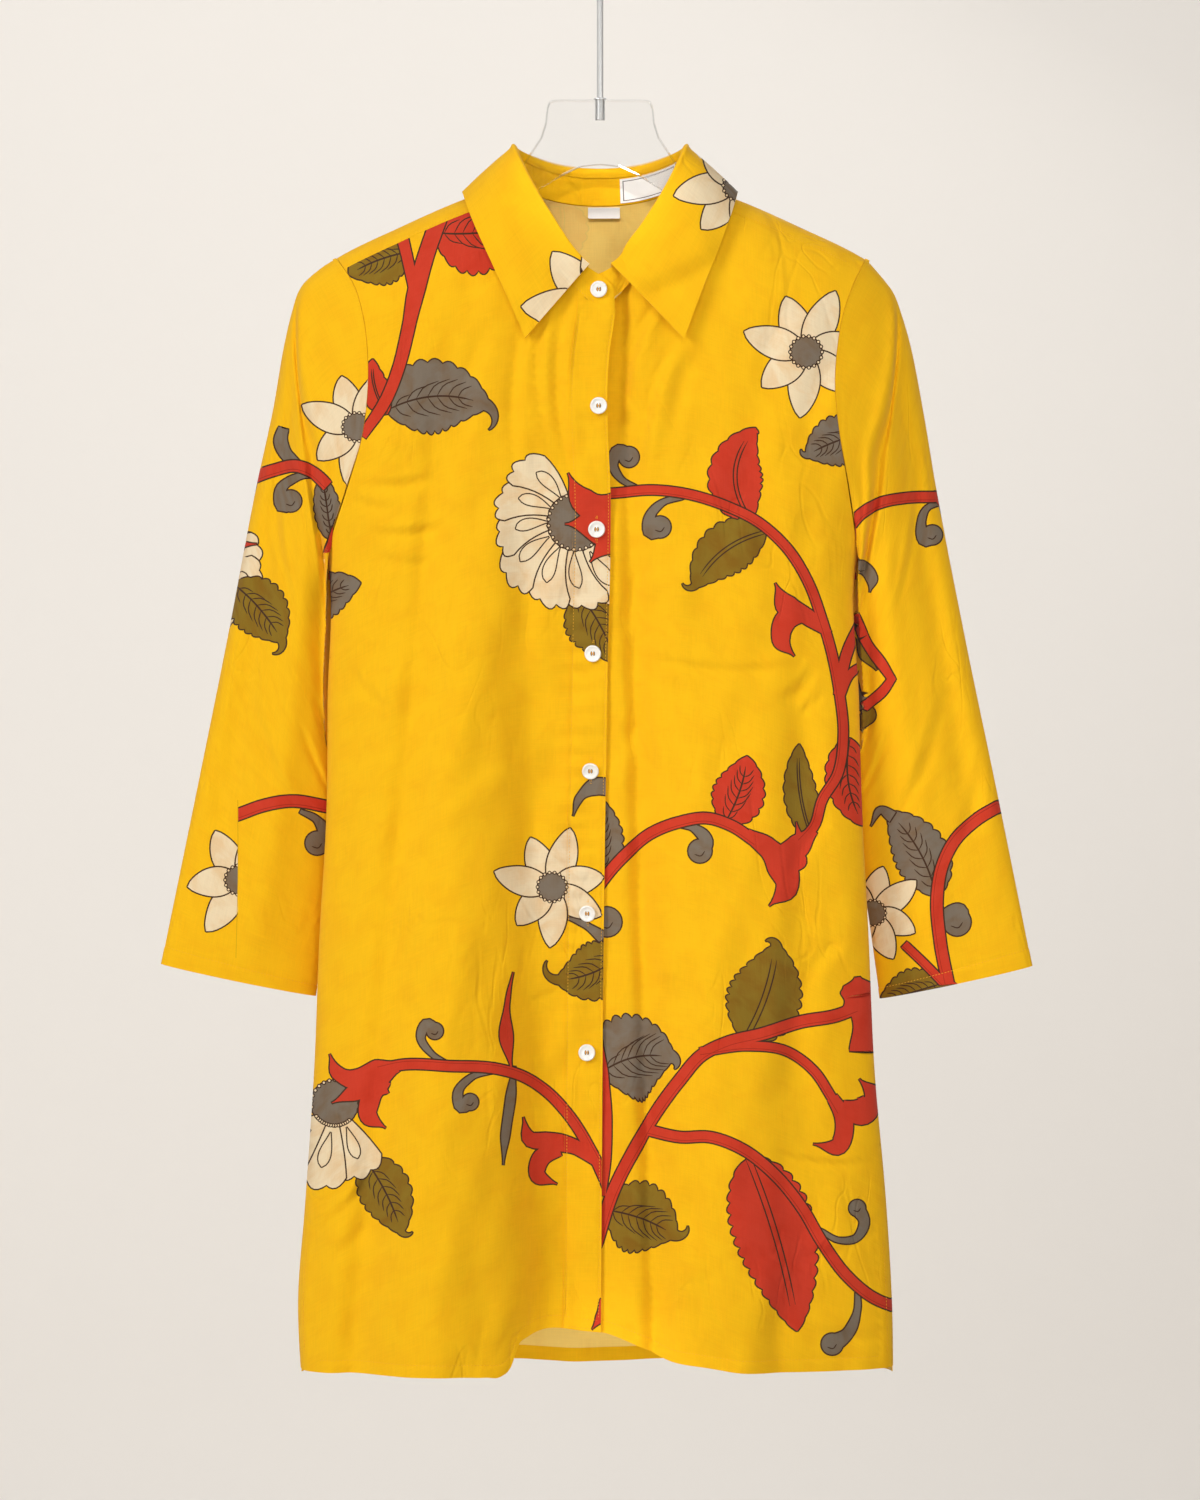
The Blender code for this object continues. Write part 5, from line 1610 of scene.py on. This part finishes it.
def back_outline():
    top = YOKE_BACK + GAP
    x = np.linspace(-armhole(-1, top), armhole(1, top), 90)
    sides = []
    for side in (1, -1):
        drop = arm_drop(np.linspace(float(arm_turn(top)), math.pi, 50))[1:]
        down = np.linspace(PIT, BACK_HEM, 200)[1:]
        drop = np.concatenate([drop, down])
        out = armhole(side, drop) - GAP * (drop < PIT)
        sides.append(on_back(side * out, drop))
    across = np.linspace(sides[0][-1].real, sides[1][-1].real, 120)[1:-1]
    foot = on_back(across, BACK_HEM + 0 * across)
    return np.concatenate([on_back(x, top + 0 * x), sides[0], foot, sides[1][::-1]])


def yoke_outline():
    w = []
    for side in (-1, 1):
        neck_turn, corner = yoke_turns(side)
        neck = on_front(*neck_ring(side * np.linspace(neck_turn, math.pi / 2 - 0.01, 30), GAP))
        front = arm_drop(np.linspace(corner, 0.01, 40))
        rear = arm_drop(np.linspace(0.01, float(arm_turn(YOKE_BACK)), 40))
        out = [side * (armhole(side, d) - GAP) for d in (front, rear)]
        arm = np.concatenate([on_front(out[0], front), on_back(out[1], rear)])
        seam = np.linspace(neck[0], arm[0], 40)[1:-1]
        w.append(np.concatenate([neck[::-1], seam, arm]))
    turn = np.linspace(-math.pi / 2 - 0.01, -1.5 * math.pi + 0.01, 70)
    behind = on_back(*neck_ring(turn, GAP))[::-1]
    x = np.linspace(w[0][-1].real, w[1][-1].real, 90)[1:-1]
    return np.concatenate([behind, w[0], on_back(x, YOKE_BACK - GAP + 0 * x), w[1][::-1]])


def box_outline(low, high, round_at=()):
    """A rectangle with some of its four corners rounded by a radius."""
    corners = [low, high.real + 1j * low.imag, high, low.real + 1j * high.imag]
    out = []
    for k, corner in enumerate(corners):
        radius = dict(round_at).get(k, 0)
        if not radius:
            out.append([corner])
            continue
        before, after = corners[k - 1] - corner, corners[(k + 1) % 4] - corner
        before, after = before / abs(before) * radius, after / abs(after) * radius
        t = np.linspace(0, math.pi / 2, 9)
        out.append(corner + before * (1 - np.sin(t)) + after * (1 - np.cos(t)))
    return np.concatenate(out)


def laid_out(drawing, find):
    """The drawing's shapes on a pattern."""
    if not drawing.shapes:
        return []
    ends = np.cumsum([len(outline) for outline, _ in drawing.shapes])[:-1]
    found = np.split(find(np.concatenate([outline for outline, _ in drawing.shapes])), ends)
    return [(outline, ink) for outline, (_, ink) in zip(found, drawing.shapes)]


# ------------------------------------------------------------ settings


def colour(name, text, value):
    return FloatVectorProperty(
        name=name, description=text, default=value, subtype="COLOR", size=3, min=0, max=1
    )


def length(name, text, value, low, high):
    return FloatProperty(
        name=name, description=text, default=value, min=low, max=high, unit="LENGTH", precision=5
    )


class KurtaCloth(bpy.types.PropertyGroup):
    """The cotton, its hems and the labels"""

    thickness: length("Cloth", "Thickness of the cloth", 0.7 * MM, 0.3 * MM, 2 * MM)
    hem: length("Hem", "Width of the folded hem", 9 * MM, 4 * MM, 25 * MM)
    cuff: length("Cuff hem", "Width of the cuff's folded hem", 12 * MM, 4 * MM, 40 * MM)
    creases: FloatProperty(
        name="Creases", description="Strength of the small creases", default=1.5, min=0, max=2,
        subtype="FACTOR",
    )
    ground: colour("Ground", "Colour of the cloth", (0.86, 0.46, 0.004))
    # Partly the wrong side's own colour and partly painted light: it is lightened to stand in for
    # light that shines through the thin cotton.
    wrong_side_with_painted_light: colour("Wrong side", "Colour of the cloth's wrong side", (0.95, 0.68, 0.19))
    label: colour("Label", "Colour of the labels", (0.86, 0.84, 0.8))


class KurtaPrint(bpy.types.PropertyGroup):
    """The print's inks"""

    red: colour("Red", "Stems, buds and some leaves", (0.56, 0.042, 0.018))
    grey: colour("Grey", "Curls, hearts and some leaves", (0.185, 0.145, 0.105))
    olive: colour("Olive", "Leaves", (0.235, 0.14, 0.012))
    cream: colour("Cream", "Petals", (0.78, 0.625, 0.40))
    line: colour("Line", "Lines round the shapes", (0.055, 0.026, 0.014))


class KurtaTrim(bpy.types.PropertyGroup):
    """Stitches, buttons and the hook"""

    stitch: length("Stitch", "Length of a stitch", 2.4 * MM, 1.2 * MM, 6 * MM)
    thread: length("Thread", "Half the thread's width", 0.24 * MM, 0.1 * MM, 0.6 * MM)
    thread_colour: colour("Thread", "Colour of the stitches", (0.82, 0.4, 0.01))
    pearl: colour("Buttons", "Colour of the buttons", (0.86, 0.83, 0.77))
    steel: colour("Steel", "Colour of the hook", (0.80, 0.79, 0.77))
    segments: IntProperty(
        name="Segments", description="Steps round a button", default=40, min=12, max=96
    )


class KurtaStage(bpy.types.PropertyGroup):
    """The studio"""

    wall: colour("Wall", "Colour of the wall and the floor", (0.79, 0.75, 0.70))
    wall_distance: length("Wall distance", "From the hook to the wall", 5.4, 0.2, 9)
    floor_drop: length("Floor", "From the hook down to the floor", 2.85, 1.12, 5)
    power: FloatProperty(
        name="Light", description="Power that the lights share", default=100, min=0, subtype="POWER"
    )


# ------------------------------------------------------------ operators


class MakeFinishes(bpy.types.Operator):
    """Make the finishes and dress the metal and the clear plate"""

    bl_idname = "kurta.finishes"
    bl_label = "Finishes"

    def execute(self, context):
        trim = context.scene.kurta_trim
        cotton_finish()
        label_finish()
        plain_finish("cotton thread", trim.thread_colour, 900, 0.12, 0.75)
        plain_finish("button thread", (0.72, 0.34, 0.05), 900, 0.15, 0.8)
        # Painted shade: a near-black finish for each button hole, which is not cut through.
        plain_finish("dark hole", (0.05, 0.03, 0.02), 300, 0.2, 0.9)
        plain_finish(
            "pearl button", trim.pearl, 160, 0.07, 0.22, Coat_Weight=0.4, Coat_Roughness=0.1
        )
        steel = plain_finish("bright steel", trim.steel, 220, 0.05, 0.24, Metallic=0.5)
        clear = plain_finish(
            "clear acrylic", (0.97, 0.98, 0.98), 30, 0.01, 0.03,
            Transmission_Weight=1.0, IOR=1.49, Alpha=0.4,
        )
        for name, finish in (("hook", steel), ("ferrule", steel), ("hanger_plate", clear)):
            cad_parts[name].data.materials.clear()
            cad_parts[name].data.materials.append(finish)
        return {"FINISHED"}


class MakeFronts(bpy.types.Operator):
    """Make both fronts and the button band"""

    bl_idname = "kurta.fronts"
    bl_label = "Fronts and band"

    def execute(self, context):
        facing = (0, -1, 0)
        right = laid_out(right_front_print(), on_torso_print)
        left = laid_out(left_front_print(), on_torso_print)
        for name, node, side, shapes, place in (
            ("right_front", "front_right", -1, right, torso_place),
            ("left_front", "front_left", 1, left, left_front_place),
        ):
            outline = front_outline(side)
            hem = even(hem_line(side), 4 * MM)
            lines = [hem, hem + 1.2j * MM, hem - 1.2j * MM]
            panel = cut(outline, shapes, torso_net(outline, NET), lines)
            made = lay(name, place, panel, (side * 0.1 - 0.4j, facing), node=node)
        outline = even(band_outline(), 4 * MM, True)
        drop = np.linspace(NECK_FRONT + 2 * MM, 845 * MM, 190)
        offs = (0.8, 1.6, 2.4, 25.4, 26.2, 27.0)
        lines = [on_front(edge_x(drop) - off * MM, drop) for off in offs]
        panel = cut(outline, right, net(outline, NET), lines)
        spot = complex(edge_x(0.4) - 0.012, -0.4)
        made = lay("band", band_place, panel, (spot, facing), node="button_band")
        return {"FINISHED"}


def hem_line(side):
    x0 = float(front_start(side, FRONT_FOOT))
    width = bpy.context.scene.kurta_cloth.hem
    x = np.linspace(x0 + side * 1 * MM, side * 208 * MM, 120)
    return on_front(x, HEM.at("drop", x) - width)


class MakeBack(bpy.types.Operator):
    """Make the back"""

    bl_idname = "kurta.back"
    bl_label = "Back"

    def execute(self, context):
        outline = back_outline()
        x = np.linspace(-240, 240, 80) * MM
        fold = BACK_HEM - context.scene.kurta_cloth.hem - 1.5 * MM
        turned = np.concatenate([on_back(x, fold + 0 * x), on_back(x[::-1], 950 * MM + 0 * x)])
        shapes = [(turned, "turned")] + laid_out(back_print(), on_back_print)
        panel = cut(outline, shapes, torso_net(outline, 5 * MM))
        made = lay("back_panel", torso_place, panel, (0.02 + 0.4j, (0, 1, 0)), node="back")
        return {"FINISHED"}


class MakeYoke(bpy.types.Operator):
    """Make the yoke over the shoulders"""

    bl_idname = "kurta.yoke"
    bl_label = "Yoke"

    def execute(self, context):
        outline = even(yoke_outline(), 3.5 * MM, True)
        panel = cut(outline, laid_out(yoke_print(), on_back_print), net(outline, 4 * MM))
        made = lay("shoulder_yoke", torso_place, panel, (0.12 + 0.002j, (0, 0, 1)), node="yoke")
        return {"FINISHED"}


class MakeSleeves(bpy.types.Operator):
    """Make both sleeves"""

    bl_idname = "kurta.sleeves"
    bl_label = "Sleeves"

    def execute(self, context):
        wide = math.pi * SLEEVE_GIRTH
        outline = even(box_outline(complex(-wide, 0), complex(wide, SLEEVE_LENGTH)), 3 * MM, True)
        cuff = SLEEVE_LENGTH - context.scene.kurta_cloth.cuff
        across = np.arange(-wide + 1 * MM, wide, 4 * MM)
        lines = [across + 1j * (cuff + off) for off in (-1.2 * MM, 0, 1.2 * MM)]
        for name, node, side, drawing in (
            ("right_sleeve", "sleeve_right", -1, right_sleeve_print()),
            ("left_sleeve", "sleeve_left", 1, left_sleeve_print()),
        ):
            shapes = laid_out(drawing, on_sleeve_print(side))
            shapes += laid_out(sleeve_back_print(), on_sleeve_back)
            panel = cut(outline, shapes, net(outline, 4.2 * MM), lines)
            spot = complex(SLEEVE_GIRTH * math.pi / 2, 0.3)
            made = lay(name, sleeve_place(side), panel, (spot, (0, -1, 0)), node=node)
        return {"FINISHED"}


class MakeCollar(bpy.types.Operator):
    """Make the collar's stand and leaf"""

    bl_idname = "kurta.collar"
    bl_label = "Collar"

    def execute(self, context):
        high = complex(STAND_GIRTH, STAND_FRONT)
        outline = even(box_outline(0j, high, ((2, 6 * MM), (3, 9 * MM))), 2.5 * MM, True)
        panel = cut(outline, [], net(outline, 3 * MM))
        spot = complex(STAND_GIRTH / 2, 0.01)
        made = lay(
            "stand", stand_place, panel, (spot, (0, 1, 0)), 1.2 * MM, True, node="collar_stand",
        )
        outline = even(box_outline(0j, complex(LEAF_GIRTH, LEAF_DEPTH)), 2.5 * MM, True)
        shapes = laid_out(right_leaf_print(), on_leaf_print(-1))
        shapes += laid_out(left_leaf_print(), on_leaf_print(1))
        panel = cut(outline, shapes, net(outline, 2.6 * MM))
        spot = complex(LEAF_GIRTH / 2, 0.055)
        made = lay(
            "leaf", leaf_place, panel, (spot, (0, 1, 0.3)), 1.3 * MM, True, node="collar_leaf",
        )
        return {"FINISHED"}


class MakeLabels(bpy.types.Operator):
    """Make the bare neck label and the bare size tab"""

    bl_idname = "kurta.labels"
    bl_label = "Labels"

    def execute(self, context):
        cells = len(neck_lines()[0]) - 1
        middle = cells / 2

        def on_stand(a, b):
            u = (middle + 1.35 + a / (44 * MM) * 5.65) / cells
            points = stand_form(u, 0.05 + 0.9 * b / (18 * MM))
            inward = np.array([[-0.35, -1, 0]]) / 1.06
            return points + inward * 1.15 * MM

        frame_line = box_outline(1.5 * MM * (1 + 1j), complex(42.5 * MM, 16.5 * MM))
        within = box_outline(2.1 * MM * (1 + 1j), complex(41.9 * MM, 15.9 * MM))
        outline = even(box_outline(0j, complex(44 * MM, 18 * MM)), 1.5 * MM, True)
        shapes = [(even(outline, 2 * MM, True), "label"), (even(frame_line, 2 * MM, True), "mark")]
        shapes.append((even(within, 2 * MM, True), "label"))
        panel = cut(outline, shapes, net(outline, 2 * MM))
        made = lay(
            "bare_neck_label",
            on_stand,
            panel,
            (0.02 + 0.009j, (0, -1, 0)),
            0.5 * MM,
            finish="label satin",
            node="neck_label",
        )

        def on_yoke(a, b):
            x = -9 * MM + a
            w = profile_place(x, NECK_BACK + 1 * MM + 0 * a) + b
            points = torso_place(x, w)
            points[:, 1] -= 1.0 * MM + 2.0 * MM * (b / (12 * MM)) ** 2
            return points

        outline = box_outline(0j, complex(24 * MM, 12 * MM), ((2, 1 * MM), (3, 1 * MM)))
        outline = even(outline, 1.5 * MM, True)
        panel = cut(outline, [(outline, "label")], net(outline, 2 * MM))
        made = lay(
            "bare_size_tab",
            on_yoke,
            panel,
            (0.012 + 0.006j, (0, -1, 0)),
            0.5 * MM,
            finish="label satin",
            node="size_tab",
        )
        return {"FINISHED"}


class MakeButtons(bpy.types.Operator):
    """Make the buttons and their thread, with a dark oval painted as the shade in each button hole
    """

    bl_idname = "kurta.buttons"
    bl_label = "Buttons"

    def execute(self, context):
        cells = len(neck_lines()[0]) - 1
        for k, (drop, x) in enumerate(zip(BUTTONS.places, BUTTONS.columns["x"])):
            if k == 0:
                place, at = stand_place, complex(0.55 / cells * STAND_GIRTH, STAND_FRONT / 2)
                lift = 1.0 * MM
            else:
                place, at = band_place, complex(x, -float(profile_place(x, drop)))
                lift = 0.7 * MM
            at = np.array([at])
            centre = place(at.real, at.imag)[0]
            out = normals(place, at, 1)[0]
            out = out if out[1] < 0 else -out
            self.button(k + 1, Vector(centre + out * lift), Vector(out))
        return {"FINISHED"}

    def button(self, number, centre, out):
        r, h = BUTTON_RADIUS, BUTTON_HEIGHT
        points = [(0, 0.1), (0.7, 0), (0.94, 0.3), (1, 0.55), (0.97, 0.85), (0.89, 1), (0.79, 0.93)]
        points += [(0.68, 0.72), (0.5, 0.6), (0, 0.56)]
        bm = bmesh.new()
        verts = [bm.verts.new((p * r, 0, z * h)) for p, z in points]
        edges = [bm.edges.new(pair) for pair in zip(verts, verts[1:])]
        bmesh.ops.spin(
            bm, geom=verts + edges, axis=(0, 0, 1), cent=(0, 0, 0), angle=2 * math.pi,
            steps=bpy.context.scene.kurta_trim.segments, use_merge=True, dvec=(0, 0, 0),
        )
        bmesh.ops.remove_doubles(bm, verts=bm.verts, dist=0.002 * MM)
        bmesh.ops.recalc_face_normals(bm, faces=bm.faces)
        self.part(f"pearl_{number}", bm, centre, out, "pearl button", f"button_{number}")
        # No hole is cut: a flat dark oval on each button's face is painted shade where each open
        # hole would be.
        for name, finish, size, off, up in (
            ("painted_hole_shade", "dark hole", (0.8, 1.75, 0.22), 0.95, 0.6),
            ("thread", "button thread", (0.5, 1.45, 0.6), 0.8, 0.66),
        ):
            bm = bmesh.new()
            for side in (-1, 1):
                verts = bmesh.ops.create_icosphere(bm, subdivisions=2, radius=1)["verts"]
                bmesh.ops.scale(bm, verts=verts, vec=Vector(size) * MM)
                bmesh.ops.translate(bm, verts=verts, vec=(side * off * MM, 0, up * h))
            self.part(f"{name}_{number}", bm, centre, out, finish)

    def part(self, name, bm, centre, out, finish, node=None):
        placed = Matrix.Translation(centre) @ out.to_track_quat("Z", "Y").to_matrix().to_4x4()
        bmesh.ops.transform(bm, matrix=placed, verts=bm.verts)
        mesh = bpy.data.meshes.new(name)
        bm.to_mesh(mesh)
        bm.free()
        mesh.shade_smooth()
        mesh.materials.append(bpy.data.materials[finish])
        add(name, mesh, "pearl_button", node)


class SewStitches(bpy.types.Operator):
    """Sew the hems, the seams, the band, the cuffs, the collar and the buttonholes"""

    bl_idname = "kurta.stitches"
    bl_label = "Stitches"

    def execute(self, context):
        cloth = context.scene.kurta_cloth
        lift = cloth.thickness / 2 + 0.04 * MM
        right, left, rear = (
            right_side(*probe)
            for probe in (
                (torso_place, -0.1 - 0.4j, (0, -1, 0)),
                (left_front_place, 0.1 - 0.4j, (0, -1, 0)),
                (torso_place, 0.02 + 0.4j, (0, 1, 0)),
            )
        )
        runs = []
        for side, place, sign in ((-1, torso_place, right), (1, left_front_place, left)):
            runs.append((place, hem_line(side), sign, lift))
            drop = np.linspace(BACK_HEM - SLIT, 872 * MM, 60)
            x = side * (armhole(side, drop) - 5 * MM)
            runs.append((place, on_front(x, drop), sign, lift))
            runs.append((torso_place, on_back(x, drop), rear, lift))
            seam = YOKE_FRONT - 1.6 * MM
            x = side * np.linspace(83, 184, 40) * MM
            runs.append((torso_place, on_front(x, ridge(x) + seam), right, lift))
        x = np.linspace(-208, 208, 160) * MM
        runs.append((torso_place, on_back(x, BACK_HEM - cloth.hem + 0 * x), rear, lift))
        x = np.linspace(-170, 172, 120) * MM
        runs.append((torso_place, on_back(x, YOKE_BACK - 1.8 * MM + 0 * x), rear, lift))
        sew("hem_stitches", runs)

        band = right_side(band_place, complex(edge_x(0.4) - 0.012, -0.4), (0, -1, 0))
        drop = np.linspace(NECK_FRONT + 2 * MM, 846 * MM, 200)
        rows = [on_front(edge_x(drop) - off * MM, drop) for off in (1.7, 26.2)]
        runs = [(band_place, row, band, lift) for row in rows]
        x = edge_x(840 * MM) - np.linspace(1.5, 26.5, 20) * MM
        runs.append((band_place, on_front(x, HEM.at("drop", x) - 2.2 * MM), band, lift))
        runs.append((band_place, on_front(x, HEM.at("drop", x) - cloth.hem), band, lift))
        for at, x in list(zip(BUTTONS.places, BUTTONS.columns["x"]))[1:]:
            for off in (-0.5, 0.5):
                for span in ((-9.5, -6.5), (6.5, 9.5)):
                    drop = at + np.linspace(*span, 8) * MM
                    runs.append((band_place, on_front(x + off * MM + 0 * drop, drop), band, lift))
            for end in (-9.5, 9.5):
                across = x + np.linspace(-0.9, 0.9, 5) * MM
                runs.append((band_place, on_front(across, at + end * MM + 0 * across), band, lift))
        sew("band_stitches", runs)

        runs = []
        wide = math.pi * SLEEVE_GIRTH
        for side in (-1, 1):
            place = sleeve_place(side)
            sign = right_side(place, complex(wide / 2, 0.3), (0, -1, 0))
            around = np.linspace(-wide, wide, 160)
            runs.append((place, around + 1j * (SLEEVE_LENGTH - cloth.cuff), sign, lift))
        sew("cuff_stitches", runs)

        t = np.linspace(0.02, 0.98, 200)
        sign = right_side(stand_place, complex(STAND_GIRTH / 2, 0.01), (0, 1, 0))
        runs = [(stand_place, t * STAND_GIRTH + 1j * 1.6 * MM, sign, 0.65 * MM)]
        sew("collar_stitches", runs)
        return {"FINISHED"}


class MakeStage(bpy.types.Operator):
    """Make the wall, the floor, the lights and the camera"""

    bl_idname = "kurta.stage"
    bl_label = "Stage"

    def execute(self, context):
        stage = context.scene.kurta_stage
        bm = bmesh.new()
        bmesh.ops.create_grid(bm, x_segments=2, y_segments=40, size=0.5)
        back, floor, bend = stage.wall_distance, -stage.floor_drop, 0.4
        for v in bm.verts:
            run = (v.co.y + 0.5) * 20 - 10  # along the floor, round the bend and up the wall
            arc = bend * math.pi / 2
            if run < 0:
                y, z = run, 0
            elif run < arc:
                y, z = bend * math.sin(run / bend), bend * (1 - math.cos(run / bend))
            else:
                y, z = bend, bend + run - arc
            v.co = (v.co.x * 14, y + back - bend, z + floor)
        mesh = bpy.data.meshes.new("backdrop")
        bm.to_mesh(mesh)
        bm.free()
        mesh.shade_smooth()
        mesh.materials.append(plain_finish("plain wall", stage.wall, 2.0, 0.01, 0.9))
        backdrop = bpy.data.objects.new("backdrop", mesh)
        context.scene.collection.objects.link(backdrop)

        world = bpy.data.worlds.new("studio")
        world.use_nodes = True
        world.node_tree.nodes["Background"].inputs["Color"].default_value = (1.0, 0.985, 0.96, 1)
        world.node_tree.nodes["Background"].inputs["Strength"].default_value = 0.15
        context.scene.world = world
        for name, place, aim, size, share, cone in LIGHTS:
            lamp = bpy.data.lights.new(name, "SPOT" if cone else "AREA")
            lamp.energy = stage.power * share
            if cone:
                lamp.spot_size, lamp.spot_blend = math.radians(cone), 1
                lamp.shadow_soft_size = size
            else:
                lamp.size = size
            lit = bpy.data.objects.new(name, lamp)
            lit.location = place
            way = Vector(aim) - lit.location
            lit.rotation_euler = way.to_track_quat("-Z", "Y").to_euler()
            context.scene.collection.objects.link(lit)
        lens = bpy.data.cameras.new("camera")
        lens.lens = lens.sensor_width * EYE_AWAY / (DRAWN_HEIGHT * DRAWN_UNIT)
        lens.shift_y = (EYE_ROW - DRAWN_HEIGHT / 2) / DRAWN_HEIGHT
        camera = bpy.data.objects.new("camera", lens)
        camera.location = (0, -EYE_AWAY, SHOULDER_Z - EYE_DROP)
        camera.rotation_euler = (math.pi / 2, 0, 0)
        context.scene.collection.objects.link(camera)
        context.scene.camera = camera
        context.scene.view_settings.view_transform = "Standard"
        return {"FINISHED"}


OPERATORS = (
    MakeFinishes, MakeFronts, MakeBack, MakeYoke, MakeSleeves, MakeCollar, MakeLabels,
    MakeButtons, SewStitches, MakeStage,
)
GROUPS = {
    "kurta_cloth": KurtaCloth, "kurta_print": KurtaPrint, "kurta_trim": KurtaTrim,
    "kurta_stage": KurtaStage,
}


class KurtaPanel(bpy.types.Panel):
    """The settings and the operators, in the sidebar"""

    bl_idname = "VIEW3D_PT_kurta"
    bl_label = "Kurta tunic"
    bl_space_type = "VIEW_3D"
    bl_region_type = "UI"
    bl_category = "Kurta"

    def draw(self, context):
        for name, group in GROUPS.items():
            box = self.layout.box()
            for key in group.__annotations__:
                box.prop(getattr(context.scene, name), key)
        for operator in OPERATORS:
            self.layout.operator(operator.bl_idname)


def register():
    for group in GROUPS.values():
        bpy.utils.register_class(group)
    for name, group in GROUPS.items():
        setattr(bpy.types.Scene, name, PointerProperty(type=group))
    for made in (*OPERATORS, KurtaPanel):
        bpy.utils.register_class(made)


def unregister():
    for made in reversed((*OPERATORS, KurtaPanel)):
        bpy.utils.unregister_class(made)
    for name, group in reversed(GROUPS.items()):
        delattr(bpy.types.Scene, name)
        bpy.utils.unregister_class(group)


def main():
    register()
    for operator in OPERATORS:
        group, name = operator.bl_idname.split(".")
        getattr(getattr(bpy.ops, group), name)()


if __name__ == "__main__":
    main()
